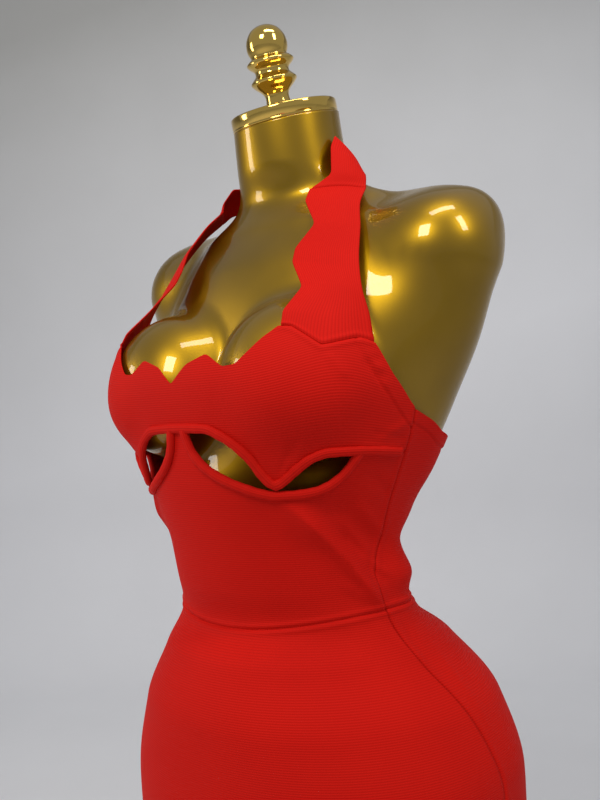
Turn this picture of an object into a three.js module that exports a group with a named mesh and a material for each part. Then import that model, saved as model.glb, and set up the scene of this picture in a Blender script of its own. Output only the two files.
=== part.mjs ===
import * as THREE from 'three';

// A halter bodycon dress stretched over a limbless dress form on a short stand. Lengths are in
// millimetres, +Z is up and the dress faces -Y. Heights on the torso are measured from its waist,
// and angles are in degrees from the centre front, positive towards the wearer's left (+X).

// Driving dimensions
const WAIST_HEIGHT = 620;
const TORSO_FORWARD = 30;
const CLOTH = 1.6;
const CLEARANCE = 0.9;
const SEAM_GAP = 0.3;
const HEM_HEIGHT = -420;
const FORM_BOTTOM = -445;
const NECK_LEAN = 16;
const CAP_RADIUS = 50;
const CAP_HEIGHT = 13;
const FINIAL_FORWARD = 4;
const BINDING_WIDTH = 7.6;
const BINDING_THICKNESS = 5;
const BINDING_SIDES = 6;
const BINDING_GAP = 1;
const MITRE_GAP = 0.12;
const STRAP_SEAM = [38, 41, 44.5, 48.5, 53.7, 59, 64.4];
const RIBBON_BOW = 3;
const SEAM_ROWS = 4;
const MIDRIFF_ROWS = 9;
const SKIRT_ROWS = 11;
const POLE_RADIUS = 16;
const BASE_RADIUS = 165;
const BASE_THICKNESS = 16;

const MM_PER_DEGREE = 2.3;
const RAY_REACH = 290;
const RAY_STEP = 3;

// Materials
const RED_JERSEY = { color: 0xd2160f, roughness: 0.72, metalness: 0 };
const RED_BINDING = { color: 0xda1c12, roughness: 0.66, metalness: 0 };
const GOLD_LACQUER = { color: 0xb08d2c, roughness: 0.3, metalness: 0.75 };
const GOLD_PLATE = { color: 0xd9b84a, roughness: 0.12, metalness: 1 };

// A table with named columns becomes a list of row objects.
function table(columns, rows) {
  return rows.map((row) => Object.fromEntries(columns.map((name, i) => [name, row[i]])));
}

// The form's trunk: each section is two half superellipses that share the widest line.
const SECTION_COLUMNS = ['height', 'halfWidth', 'front', 'back', 'frontPower', 'backPower', 'widest'];
const TRUNK = table(SECTION_COLUMNS, [
  [-445, 149, 108, 118, 2.3, 2.3, 20],
  [-340, 164, 114, 138, 2.3, 2.3, 30],
  [-260, 174, 117, 152, 2.3, 2.3, 40],
  [-200, 175, 120, 156, 2.25, 2.3, 44],
  [-140, 174, 125, 165, 2.2, 2.3, 42],
  [-80, 157, 125, 163, 2.1, 2.2, 34],
  [-30, 125, 112, 127, 2.05, 2.1, 16],
  [0, 109, 92, 77, 2.05, 2.1, 0],
  [35, 102, 89, 42, 2.05, 2.1, -6],
  [65, 102, 89, 45, 2.1, 2.1, -12],
  [120, 113, 93, 58, 2.2, 2.2, -18],
  [180, 136, 91, 82, 2.3, 2.3, -5],
  [240, 154, 82, 104, 2.3, 2.3, 11],
  [300, 132, 65, 100, 2.2, 2.2, 17],
  [340, 110, 43, 75, 2.1, 2.1, 16],
  [370, 70, 30, 75, 2, 2, 22],
  [400, 53, 42, 62, 2, 2, 10],
  [500, 48, 54, 44, 2, 2, -5],
]);

// The cloth where it stands clear of the form: bridged bust and midriff, loose small of the back.
const SHELL = table(SECTION_COLUMNS, [
  [-420, 156, 114, 128, 2.3, 2.3, 20],
  [-340, 168, 118, 142, 2.3, 2.3, 30],
  [-260, 178, 121, 156, 2.3, 2.3, 40],
  [-200, 179, 124, 160, 2.25, 2.3, 44],
  [-140, 178, 129, 169, 2.2, 2.3, 42],
  [-80, 161, 129, 167, 2.1, 2.2, 34],
  [-30, 129, 116, 132, 2.05, 2.1, 16],
  [0, 113, 96, 80, 2.05, 2.1, 0],
  [30, 108, 106, 50, 2.05, 2.1, -4],
  [63, 108, 115, 52, 2.05, 2.2, -6],
  [90, 114, 124, 66, 2.05, 2.4, -6],
  [120, 127, 133, 78, 2.1, 2.6, -4],
  [160, 143, 141, 94, 2.4, 2.7, 0],
  [200, 148, 148, 104, 2.7, 2.4, 0],
  [240, 144, 139, 118, 2.6, 2.2, 0],
  [280, 140, 111, 125, 2.4, 2.2, 0],
]);

// Round masses that the trunk blends into, one of each on either side.
const BUST_MASS = { x: 67, y: -74, z: 191, rx: 67.5, ry: 66, above: 76, below: 55 };
const SHOULDER_CAP = { from: [147, 23, 303], to: [102, 20, 142], radii: [52, 25] };
const SHOULDER_SLOPE = { from: [29, 26, 354], to: [160, 49, 334], radii: [28, 22] };
const BLEND = { slope: 25, shoulder: 35, cleavage: 8, bust: 16, cloth: 8 };

// Where each ring of the form's surface is looked for: the height of the rays' origin, how far
// they climb, and how far their plane leans forwards with the neck.
const FORM_RINGS = table(['height', 'climb', 'lean'], [
  [-445, 0, 0], [-400, 0, 0], [-350, 0, 0], [-300, 0, 0], [-250, 0, 0], [-205, 0, 0], [-165, 0, 0],
  [-125, 0, 0], [-90, 0, 0], [-58, 0, 0], [-30, 0, 0], [-5, 0, 0], [22, 0, 0], [52, 0, 0],
  [84, 0, 0], [112, 0, 0], [134, 0, 0], [150, 0, 0], [168, 0, 0], [188, 0, 0], [208, 0, 0],
  [229, 3, 0], [248, 7, 0], [262, 12, 0], [276, 18, 0], [290, 24, 0], [304, 29, 0], [318, 32, 0],
  [334, 33, 0], [350, 29, 0], [366, 22, 2], [381, 15, 4], [397, 8, 7], [415, 3, 11],
  [431, 0, 13], [446, 0, 16],
]);
const FORM_SIDES = 48;
const SHOULDER_CROWDING = 0.2;

// Side seams: where the front pieces end and the back pieces begin.
const SIDE_SEAM = table(['height', 'angle'], [
  [-420, 98], [-250, 102], [-145, 102], [-100, 99.5], [-60, 94], [-25, 86], [10, 79], [40, 75.5],
  [70, 79], [110, 79.5], [140, 80], [180, 81],
]);
const WAIST_SEAM = { front: -3, rise: 14 };

// Scalloped neckline, strap seam and armhole of the bust piece, from the centre front round.
const BUST_TOP = table(['angle', 'height'], [
  [0, 199], [6.5, 214], [14.5, 221], [20.5, 210], [25, 211], [33, 230], [38, 239], [41, 238],
  [48.5, 223], [59, 229], [64.4, 226], [70, 202], [78, 181], [82, 172],
]);
// Lower edge of the bust's binding: the arch over the centre, then the arch at each side. They
// meet in the point under each cup.
const CUP_POINT = 34;
const BUST_HEM = table(['angle', 'height'], [
  [0, 161], [12, 160], [17, 155], [21, 148.5], [25, 139], [29, 124], [31.5, 117.5], [34, 115],
  [36.5, 117.5], [39, 122], [42.5, 129.5], [46.5, 136.5], [51, 140], [60, 140.5], [82, 137],
]);
// Upper edge of the midriff's binding: the flank of the centre point and the two leaf-shaped gaps
const MIDRIFF_TOP = table(['angle', 'height'], [
  [4.9, 159.8], [6.2, 149.5], [9, 140], [13, 132.3], [18, 125.8], [24, 120], [29, 116.2], [34, 114.2],
  [40, 114.4], [46, 116], [50.5, 119.5], [54.5, 126], [57, 133], [58.6, 139.4],
]);
const BACK_TOP = table(['angle', 'height'], [
  [81, 174], [90, 165], [98, 155], [110, 150], [180, 146],
]);

// Largest folds of the midriff and the back: a soft ridge along a line, or round a height.
const RIDGES = table(['angle', 'height', 'toAngle', 'toHeight', 'rise', 'width'], [
  [33, 114, 81, 10, 4.5, 12],
  [46, 114, 86, 40, -4, 16],
]);
const ROLLS = table(['height', 'rise', 'halfHeight', 'fromAngle'], [
  [36, 7, 13, 76],
  [64, -3, 10, 84],
  [92, 2, 14, 110],
]);

// The halter strap's edges in space, from the bust seam to the side of the neck.
const STRAP_INNER = table(['x', 'y', 'z'], [
  [93, -117, 249], [92, -92, 270], [71, -78, 294], [69, -71, 307], [77, -55, 328], [59, -45, 352],
  [53, -31, 366],
]);
const STRAP_OUTER = table(['x', 'y', 'z'], [
  [133, -63, 247], [127, -62, 266], [121, -56, 283], [115, -48, 299], [106, -33, 324],
  [95, -17, 348], [88, 2, 366],
]);
// The neckband's scalloped top edge and plain lower edge, on to the centre back.
const BAND_TOP = table(['x', 'y', 'z'], [
  [53, -31, 366], [66, -17, 380], [60, -6, 408], [56, 5, 421], [54, 17, 417], [53, 29, 401],
  [46, 43, 414], [37, 54, 419], [27, 64, 402], [14, 68, 415], [0, 70, 418],
]);
const BAND_BOTTOM = table(['x', 'y', 'z'], [
  [88, 2, 366], [82, 10, 380], [71, 21, 388], [58, 37, 391], [43, 57, 390], [23, 71, 387],
  [0, 76, 385],
]);

// Turned pieces: radius and height, from the axis round to the axis
const CAP_OUTLINE = [
  [0, SEAM_GAP], [CAP_RADIUS, SEAM_GAP], [CAP_RADIUS, CAP_HEIGHT - 1.5], [CAP_RADIUS - 1.5, CAP_HEIGHT],
  [0, CAP_HEIGHT],
];
const FINIAL_BASE = CAP_HEIGHT + SEAM_GAP;
const FINIAL_OUTLINE = [
  [0, 0], [11, 0], [11, 12], [13.5, 17], [18.5, 21.5], [21.5, 25.5], [19.5, 28.5], [16.2, 32],
  [16.2, 36], [20, 39.5], [22, 42.5], [19.5, 45.5], [16.8, 47.5], [18.6, 53], [19, 58], [17.5, 64.5],
  [13, 71], [7, 74.5], [0, 76],
].map(([radius, height]) => [radius, height + FINIAL_BASE]);
const POLE_OUTLINE = [
  [0, BASE_THICKNESS + SEAM_GAP], [POLE_RADIUS, BASE_THICKNESS + SEAM_GAP],
  [POLE_RADIUS, WAIST_HEIGHT + FORM_BOTTOM - SEAM_GAP], [0, WAIST_HEIGHT + FORM_BOTTOM - SEAM_GAP],
];
const BASE_OUTLINE = [
  [0, 0], [BASE_RADIUS, 0], [BASE_RADIUS, BASE_THICKNESS - 5], [BASE_RADIUS - 4, BASE_THICKNESS],
  [0, BASE_THICKNESS],
];

// Small helpers
const radians = THREE.MathUtils.degToRad;

function smoothMin(a, b, k) {
  const h = THREE.MathUtils.clamp(0.5 + (0.5 * (b - a)) / k, 0, 1);
  return THREE.MathUtils.lerp(b, a, h) - k * h * (1 - h);
}

// Monotone cubic through one column of a table, read at any value of its first column.
function profile(rows, key, value) {
  const x = rows.map((row) => row[key]);
  const y = rows.map((row) => row[value]);
  const last = x.length - 1;
  const slope = [];
  for (let i = 0; i < last; i += 1) slope.push((y[i + 1] - y[i]) / (x[i + 1] - x[i]));
  const tangent = x.map((_, i) => {
    if (i === 0) return slope[0];
    if (i === last) return slope[last - 1];
    const product = slope[i - 1] * slope[i];
    return product <= 0 ? 0 : (2 * product) / (slope[i - 1] + slope[i]);
  });
  return (at) => {
    if (at <= x[0]) return y[0];
    if (at >= x[last]) return y[last];
    const i = x.findIndex((value_) => value_ > at) - 1;
    const h = x[i + 1] - x[i];
    const t = (at - x[i]) / h;
    const t2 = t * t;
    const t3 = t2 * t;
    return (2 * t3 - 3 * t2 + 1) * y[i] + (t3 - 2 * t2 + t) * h * tangent[i]
      + (3 * t2 - 2 * t3) * y[i + 1] + (t3 - t2) * h * tangent[i + 1];
  };
}

// Straight lines through a table's rows, carried on past its ends
function polyline(rows, key, value) {
  return (at) => {
    const next = rows.findIndex((row) => row[key] >= at);
    const i = next < 0 ? rows.length - 1 : Math.max(1, next);
    const [a, b] = [rows[i - 1], rows[i]];
    return THREE.MathUtils.mapLinear(at, a[key], b[key], a[value], b[value]);
  };
}

// Distances to the surfaces, negative inside
function sectionGap(rows) {
  const [, ...names] = SECTION_COLUMNS;
  const read = Object.fromEntries(names.map((name) => [name, profile(rows, 'height', name)]));
  return (x, y, z) => {
    const halfWidth = read.halfWidth(z);
    const offset = y - read.widest(z);
    const depth = offset < 0 ? read.front(z) + read.widest(z) : read.back(z) - read.widest(z);
    const power = offset < 0 ? read.frontPower(z) : read.backPower(z);
    const reach = Math.abs(x / halfWidth) ** power + Math.abs(offset / depth) ** power;
    return (reach ** (1 / power) - 1) * Math.min(halfWidth, depth);
  };
}

function roundConeGap({ from, to, radii }) {
  const axis = to.map((value, i) => value - from[i]);
  const square = axis.reduce((sum, value) => sum + value * value, 0);
  return (x, y, z) => {
    const offset = [x - from[0], y - from[1], z - from[2]];
    const along = offset.reduce((sum, value, i) => sum + value * axis[i], 0) / square;
    const t = THREE.MathUtils.clamp(along, 0, 1);
    return Math.hypot(...offset.map((value, i) => value - t * axis[i]))
      - THREE.MathUtils.lerp(radii[0], radii[1], t);
  };
}

function bustGap(side) {
  const { x: bustX, y: bustY, z: bustZ, rx, ry, above, below } = BUST_MASS;
  return (x, y, z) => {
    const rz = z > bustZ ? above : below;
    return (Math.hypot((x - side * bustX) / rx, (y - bustY) / ry, (z - bustZ) / rz) - 1) * ry;
  };
}

const trunkGap = sectionGap(TRUNK);
const shellGap = sectionGap(SHELL);
const shoulderGap = roundConeGap(SHOULDER_CAP);
const slopeGap = roundConeGap(SHOULDER_SLOPE);
const leftBustGap = bustGap(1);
const rightBustGap = bustGap(-1);

function formGap(x, y, z) {
  const away = Math.abs(x);
  let gap = smoothMin(trunkGap(x, y, z), slopeGap(away, y, z), BLEND.slope);
  gap = smoothMin(gap, shoulderGap(away, y, z), BLEND.shoulder);
  const bust = smoothMin(leftBustGap(x, y, z), rightBustGap(x, y, z), BLEND.cleavage);
  return smoothMin(gap, bust, BLEND.bust);
}

function clothGap(x, y, z) {
  return smoothMin(shellGap(x, y, z), formGap(x, y, z) - CLEARANCE, BLEND.cloth);
}

// Outermost point of a surface along a ray
function cast(gap, origin, direction) {
  const at = (reach) => gap(
    origin.x + direction.x * reach,
    origin.y + direction.y * reach,
    origin.z + direction.z * reach,
  );
  let outside = RAY_REACH;
  while (outside > RAY_STEP && at(outside - RAY_STEP) > 0) outside -= RAY_STEP;
  let inside = outside - RAY_STEP;
  for (let i = 0; i < 16; i += 1) {
    const middle = (inside + outside) / 2;
    if (at(middle) > 0) outside = middle;
    else inside = middle;
  }
  return origin.clone().addScaledVector(direction, (inside + outside) / 2);
}

function outwards(gap, point) {
  const step = 0.5;
  const { x, y, z } = point;
  return new THREE.Vector3(
    gap(x + step, y, z) - gap(x - step, y, z),
    gap(x, y + step, z) - gap(x, y - step, z),
    gap(x, y, z + step) - gap(x, y, z - step),
  ).normalize();
}

// Folds
function ridgeRise(ridge, angle, height) {
  const span = [(ridge.toAngle - ridge.angle) * MM_PER_DEGREE, ridge.toHeight - ridge.height];
  const offset = [(angle - ridge.angle) * MM_PER_DEGREE, height - ridge.height];
  const length = Math.hypot(...span);
  const along = (offset[0] * span[0] + offset[1] * span[1]) / length;
  const across = (offset[0] * span[1] - offset[1] * span[0]) / length;
  const fade = THREE.MathUtils.smoothstep(along, 0, length * 0.3)
    * (1 - THREE.MathUtils.smoothstep(along, length * 0.75, length));
  return ridge.rise * fade * Math.exp(-((across / ridge.width) ** 2));
}

function foldRise(angle, height) {
  const away = Math.abs(angle);
  let rise = 0;
  for (const ridge of RIDGES) rise += ridgeRise(ridge, away, height);
  for (const roll of ROLLS) {
    const fade = THREE.MathUtils.smoothstep(away, roll.fromAngle, roll.fromAngle + 22);
    rise += roll.rise * fade * Math.exp(-(((height - roll.height) / roll.halfHeight) ** 2));
  }
  return rise;
}

// A point of the cloth's inner face with its outward normal
function clothPoint(angle, height) {
  const direction = new THREE.Vector3(Math.sin(radians(angle)), -Math.cos(radians(angle)), 0);
  const point = cast(clothGap, new THREE.Vector3(0, 0, height), direction);
  const normal = outwards(clothGap, point);
  const level = new THREE.Vector3(normal.x, normal.y, 0).normalize();
  return { point: point.addScaledVector(level, foldRise(angle, height)), normal };
}

// Solids from grids of points
function closedMesh(points, triangles) {
  const geometry = new THREE.BufferGeometry();
  geometry.setAttribute('position', new THREE.Float32BufferAttribute(points.flatMap((p) => [...p]), 3));
  geometry.setIndex(triangles);
  geometry.computeVertexNormals();
  return geometry;
}

function quad(a, b, c, d) {
  return [a, b, c, a, c, d];
}

function quadAcross(a, b, c, d) {
  return quad(b, c, d, a);
}

// A wall between an inner grid and the same grid moved out along its normals. Rows run upwards
// and columns to the right, as seen from outside. Cells are cut in mirrored ways on either side.
function wall(grid, thickness = CLOTH) {
  const rows = grid.length;
  const columns = grid[0].length;
  const cells = grid.flat();
  const inner = cells.map(({ point }) => point);
  const outer = cells.map(({ point, normal }) => point.clone().addScaledVector(normal, thickness));
  const front = (i, j) => rows * columns + i * columns + j;
  const back = (i, j) => i * columns + j;
  const triangles = [];
  for (let i = 0; i < rows - 1; i += 1) {
    for (let j = 0; j < columns - 1; j += 1) {
      const cell = 2 * j < columns - 1 ? quad : quadAcross;
      triangles.push(...cell(front(i, j), front(i, j + 1), front(i + 1, j + 1), front(i + 1, j)));
      triangles.push(...cell(back(i, j), back(i + 1, j), back(i + 1, j + 1), back(i, j + 1)));
    }
  }
  for (let j = 0; j < columns - 1; j += 1) {
    triangles.push(...quad(back(0, j), back(0, j + 1), front(0, j + 1), front(0, j)));
    const top = rows - 1;
    triangles.push(...quad(front(top, j), front(top, j + 1), back(top, j + 1), back(top, j)));
  }
  for (let i = 0; i < rows - 1; i += 1) {
    triangles.push(...quad(back(i + 1, 0), back(i, 0), front(i, 0), front(i + 1, 0)));
    const end = columns - 1;
    triangles.push(...quad(back(i, end), back(i + 1, end), front(i + 1, end), front(i, end)));
  }
  return closedMesh([...inner, ...outer], triangles);
}

// A solid through closed rings of points, each turning anticlockwise seen from the last ring,
// with a flat fan at both ends.
function rings(list) {
  const sides = list[0].length;
  const points = list.flat();
  const triangles = [];
  for (let i = 0; i < list.length - 1; i += 1) {
    for (let j = 0; j < sides; j += 1) {
      const next = (j + 1) % sides;
      const [a, b] = [i * sides + j, i * sides + next];
      triangles.push(...quad(a, b, b + sides, a + sides));
    }
  }
  for (const [ring, turn] of [[0, -1], [list.length - 1, 1]]) {
    const centre = new THREE.Vector3();
    list[ring].forEach((p) => centre.addScaledVector(p, 1 / sides));
    points.push(centre);
    for (let j = 0; j < sides; j += 1) {
      const pair = [ring * sides + j, ring * sides + ((j + 1) % sides)];
      triangles.push(...(turn > 0 ? pair : pair.reverse()), points.length - 1);
    }
  }
  return closedMesh(points, triangles);
}

// Column angles that include every named angle, with even steps between them
function columnAngles(keys, step) {
  const angles = [keys[0]];
  for (let i = 1; i < keys.length; i += 1) {
    const count = Math.max(1, Math.round((keys[i] - keys[i - 1]) / step));
    for (let k = 1; k <= count; k += 1) {
      angles.push(THREE.MathUtils.lerp(keys[i - 1], keys[i], k / count));
    }
  }
  return angles;
}

function evenShares(count, end = 1) {
  return Array.from({ length: count + 1 }, (_, i) => (end * i) / count);
}

function bothSides(angles) {
  return [...angles.slice(1).reverse().map((angle) => -angle), ...angles];
}

const seamAngle = profile(SIDE_SEAM, 'height', 'angle');
const seamHalfGap = SEAM_GAP / MM_PER_DEGREE;

function waistHeight(angle) {
  return WAIST_SEAM.front + WAIST_SEAM.rise * Math.sin(radians(Math.min(Math.abs(angle), 90))) ** 2;
}

// A cell of a front piece, a share of the way up from one edge to the other. Each edge is a height
// for an angle, and the outer columns are drawn in or out to follow the side seams.
function frontCell(column, end, lower, upper, share) {
  const pull = Math.sign(column) * Math.max(0, (Math.abs(column) / end - 0.6) / 0.4);
  let [angle, height] = [column, 0];
  for (let i = 0; i < 4; i += 1) {
    height = THREE.MathUtils.lerp(lower(Math.abs(angle)), upper(Math.abs(angle)), share);
    angle = column + pull * (seamAngle(height) - seamHalfGap - end);
  }
  return clothPoint(angle, height);
}

function frontPanel(columns, lower, upper, rows) {
  const end = columns[columns.length - 1];
  return wall(evenShares(rows).map((share) => (
    columns.map((column) => frontCell(column, end, lower, upper, share)))));
}

// A cell of a back piece. The column is -1 at the wearer's left side seam and 1 at the right one.
function backCell(column, lower, upper, share) {
  let [angle, height] = [180 - 90 * Math.abs(column), 0];
  for (let i = 0; i < 4; i += 1) {
    height = THREE.MathUtils.lerp(lower(angle), upper(angle), share);
    angle = 180 - Math.abs(column) * (180 - seamAngle(height) - seamHalfGap);
  }
  return clothPoint(180 + column * (180 - seamAngle(height) - seamHalfGap), height);
}

function backPanel(steps, lower, upper, rowShares) {
  const columns = evenShares(steps).map((share) => 2 * share - 1);
  return wall(rowShares.map((share) => (
    columns.map((column) => backCell(column, lower, upper, share)))));
}

// Points of the cloth along an edge at even steps, with the directions along the edge and into
// the cloth. side is 1 where the cloth lies above the edge and -1 where it lies below.
function edgeFrames(rows, side, step) {
  const height = profile(rows, 'angle', 'height');
  const [start, end] = [rows[0].angle, rows[rows.length - 1].angle];
  const samples = [];
  for (let i = 0; i <= 240; i += 1) {
    const angle = THREE.MathUtils.lerp(start, end, i / 240);
    samples.push(new THREE.Vector3(angle * MM_PER_DEGREE, height(angle), 0));
  }
  const path = new THREE.CatmullRomCurve3(samples);
  const count = Math.round(path.getLength() / step);
  const cells = path.getSpacedPoints(count).map(({ x, y }) => clothPoint(x / MM_PER_DEGREE, y));
  return cells.map(({ point, normal }, i) => {
    const before = cells[Math.max(0, i - 1)].point;
    const after = cells[Math.min(count, i + 1)].point;
    const along = after.clone().sub(before).normalize();
    const into = along.clone().cross(normal).normalize().multiplyScalar(-side);
    return { point, normal, along, into };
  });
}

// Slides a point along a direction until it meets the upright plane through the torso's axis at
// the given angle.
function slideToAngle(point, direction, angle) {
  const across = new THREE.Vector3(Math.cos(radians(angle)), Math.sin(radians(angle)), 0);
  point.addScaledVector(direction, -point.dot(across) / direction.dot(across));
}

// A rolled binding along an edge, with a mitred end wherever an angle is given for it
function binding(frames, mitres = []) {
  const list = frames.map(({ point, normal, along, into }, i) => {
    const centre = point.clone().addScaledVector(normal, CLOTH / 2);
    centre.addScaledVector(into, BINDING_WIDTH / 2);
    const mitre = mitres[[0, frames.length - 1].indexOf(i)];
    const ring = [];
    for (let k = 0; k < BINDING_SIDES; k += 1) {
      const turn = (2 * Math.PI * k) / BINDING_SIDES;
      const corner = centre.clone();
      corner.addScaledVector(normal, (BINDING_THICKNESS / 2) * Math.sin(turn));
      corner.addScaledVector(into, (BINDING_WIDTH / 2) * Math.cos(turn));
      if (mitre !== undefined) slideToAngle(corner, along, mitre);
      ring.push(corner);
    }
    return ring;
  });
  const { normal, along, into } = frames[0];
  if (into.clone().cross(normal).dot(along) < 0) list.forEach((ring) => ring.reverse());
  return rings(list);
}

// The line where a panel begins beside a binding, as rows of angle and height
function besideBinding(frames) {
  const rows = frames.map(({ point, into }) => {
    const { x, y, z } = point.clone().addScaledVector(into, BINDING_WIDTH + BINDING_GAP);
    return { angle: THREE.MathUtils.radToDeg(Math.atan2(x, -y)), height: z };
  });
  let reached = -Infinity;
  const kept = rows.filter(({ angle }) => {
    const further = angle > reached + 0.02;
    if (further) reached = angle;
    return further;
  });
  return polyline(kept, 'angle', 'height');
}

function mirrorAngles(rows) {
  return rows.map(({ angle, height }) => ({ angle: -angle, height })).reverse();
}

// Edges that the panels share
const bustTop = polyline(BUST_TOP, 'angle', 'height');
const backTop = profile(BACK_TOP, 'angle', 'height');
const bustHem = profile(BUST_HEM, 'angle', 'height');
const archRows = BUST_HEM.filter(({ angle }) => angle <= CUP_POINT);
const sideRows = BUST_HEM.filter(({ angle }) => angle >= CUP_POINT);
const sideEnd = seamAngle(bustHem(80)) - seamHalfGap;
const sideArch = [...sideRows.slice(0, -1), { angle: sideEnd, height: bustHem(sideEnd) }];
const archFrames = edgeFrames([...mirrorAngles(archRows), ...archRows.slice(1)], 1, 5);
const leftArchFrames = edgeFrames(sideArch, 1, 5);
const rightArchFrames = edgeFrames(mirrorAngles(sideArch), 1, 5);
const leftLeafFrames = edgeFrames(MIDRIFF_TOP, -1, 4.5);
const rightLeafFrames = edgeFrames(mirrorAngles(MIDRIFF_TOP), -1, 4.5);
const besideArch = besideBinding(archFrames);
const besideSide = besideBinding(leftArchFrames);
const besideLeaf = besideBinding(leftLeafFrames);
const bustBottom = (angle) => Math.max(besideArch(angle), besideSide(angle));
const midriffTop = (angle) => Math.min(besideLeaf(angle), bustHem(angle) - BINDING_GAP);
const aboveWaist = (angle) => waistHeight(angle) + 2 * SEAM_GAP;

// Column places, at the corners of the edges and evenly between them
const COLUMN_STEP = 4;
const BUST_COLUMNS = bothSides(columnAngles(
  [0, 6.5, 14.5, 20.5, 25, 29, 34, 38, 41, 48.5, 59, 64.4, 70, 78, 82],
  COLUMN_STEP,
));
const MIDRIFF_COLUMNS = bothSides(columnAngles(
  [0, 1.6, 2.6, 3.8, 5.4, 7.6, 10.5, 14, 19, 26, 34, 42, 49, 55, 58, 60, 61.5, 63, 68, 74, 79],
  COLUMN_STEP,
));
const SKIRT_COLUMNS = bothSides(columnAngles([0, 60, 100], 2 * COLUMN_STEP));

// Row places of the back bodice, which meet the front pieces' rows at the side seams
const midriffShare = (midriffTop(79) - aboveWaist(79)) / (backTop(81) - aboveWaist(81));
const BACK_ROWS = [...evenShares(MIDRIFF_ROWS, midriffShare), (1 + midriffShare) / 2, 1];

// Straps and neckband
function vectors(rows) {
  return rows.map(({ x, y, z }) => new THREE.Vector3(x, y, z));
}

// Keeps a point of the cloth clear of the form
function lifted(point) {
  const gap = formGap(point.x, point.y, point.z);
  if (gap < CLEARANCE) point.addScaledVector(outwards(formGap, point), CLEARANCE - gap);
  return point;
}

// Gives each point of a grid the normal of the surface through its neighbours
function withNormals(points) {
  const at = (i, j) => points[THREE.MathUtils.clamp(i, 0, points.length - 1)][
    THREE.MathUtils.clamp(j, 0, points[0].length - 1)];
  return points.map((row, i) => row.map((point, j) => {
    const across = at(i, j + 1).clone().sub(at(i, j - 1));
    const up = at(i + 1, j).clone().sub(at(i - 1, j));
    return { point, normal: across.cross(up).normalize() };
  }));
}

// Points of a ribbon between two edge curves, bowed outwards in its middle
function ribbon(nearEdge, farEdge, along, across) {
  const points = [];
  for (let i = 0; i <= along; i += 1) {
    const [near, far] = [nearEdge.getPoint(i / along), farEdge.getPoint(i / along)];
    const row = [];
    for (let j = 0; j <= across; j += 1) {
      const share = j / across;
      const point = near.clone().lerp(far, share);
      point.addScaledVector(outwards(formGap, point), 4 * RIBBON_BOW * share * (1 - share));
      row.push(lifted(point));
    }
    points.push(row);
  }
  return points;
}

function edgeCurve(points) {
  return new THREE.CatmullRomCurve3(points, false, 'centripetal');
}

// The wearer's left strap. Its first row follows the seam on the bust piece.
function strapGrid() {
  const seam = STRAP_SEAM.map((angle) => clothPoint(angle, bustTop(angle) + 2 * SEAM_GAP));
  const last = seam.length - 1;
  const inner = edgeCurve([seam[0].point, ...vectors(STRAP_INNER)]);
  const outer = edgeCurve([seam[last].point, ...vectors(STRAP_OUTER)]);
  const points = ribbon(inner, outer, 2 * STRAP_INNER.length, last);
  seam.forEach(({ point }, j) => {
    const shift = point.clone().sub(points[0][j]);
    for (let i = 0; i < SEAM_ROWS; i += 1) points[i][j].addScaledVector(shift, 1 - i / SEAM_ROWS);
  });
  const grid = withNormals(points);
  seam.forEach(({ normal }, j) => {
    grid[0][j].normal = normal;
  });
  return grid;
}

function mirrored({ point, normal }) {
  const flip = new THREE.Vector3(-1, 1, 1);
  return { point: point.clone().multiply(flip), normal: normal.clone().multiply(flip) };
}

// The neckband, from the left strap's seam round the nape to the right one
function neckbandGrid(strap) {
  const seam = [...strap[strap.length - 1]].reverse();
  const bottom = edgeCurve(vectors(BAND_BOTTOM));
  const top = edgeCurve(vectors(BAND_TOP));
  const half = ribbon(bottom, top, 2 * (BAND_TOP.length - 1), seam.length - 1);
  const away = half[1][0].clone().sub(half[0][0]).normalize();
  seam.forEach(({ point }, j) => half[0][j].copy(point).addScaledVector(away, 2 * SEAM_GAP));
  const flip = new THREE.Vector3(-1, 1, 1);
  const across = half[0].map((_, j) => half.map((row) => row[j]));
  const grid = withNormals(across.map((line) => [
    ...line,
    ...line.slice(0, -1).reverse().map((point) => point.clone().multiply(flip)),
  ]));
  grid.forEach((row, j) => {
    row[0].normal = seam[j].normal;
    row[row.length - 1].normal = mirrored(seam[j]).normal;
  });
  return grid;
}

// The form's rings, each looked for from the torso's axis
function formRing({ height, climb, lean }) {
  const forwards = new THREE.Vector3(0, -Math.cos(radians(lean)), -Math.sin(radians(lean)));
  const upwards = new THREE.Vector3(0, -Math.sin(radians(lean)), Math.cos(radians(lean)));
  const origin = new THREE.Vector3(0, 0, height);
  const ring = [];
  for (let j = 0; j < FORM_SIDES; j += 1) {
    const even = (2 * Math.PI * j) / FORM_SIDES;
    const turn = even + SHOULDER_CROWDING * Math.sin(2 * even);
    const level = new THREE.Vector3(Math.sin(turn), 0, 0).addScaledVector(forwards, Math.cos(turn));
    const direction = level.multiplyScalar(Math.cos(radians(climb)));
    direction.addScaledVector(upwards, Math.sin(radians(climb)));
    ring.push(cast(formGap, origin, direction));
  }
  return ring;
}

function turned(profileRows, segments) {
  const outline = profileRows.map(([radius, height]) => new THREE.Vector2(radius, height));
  return new THREE.LatheGeometry(outline, segments).rotateX(Math.PI / 2);
}

// Names, shapes and materials
function piece(name, geometry, finish) {
  const mesh = new THREE.Mesh(geometry, new THREE.MeshStandardMaterial(finish));
  mesh.name = name;
  return mesh;
}

const strap = strapGrid();
const innerMitre = CUP_POINT - MITRE_GAP;
const outerMitre = CUP_POINT + MITRE_GAP;
const neckTop = formRing(FORM_RINGS[FORM_RINGS.length - 1]);
const capCentre = new THREE.Vector3();
neckTop.forEach((point) => capCentre.addScaledVector(point, 1 / FORM_SIDES));

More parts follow.
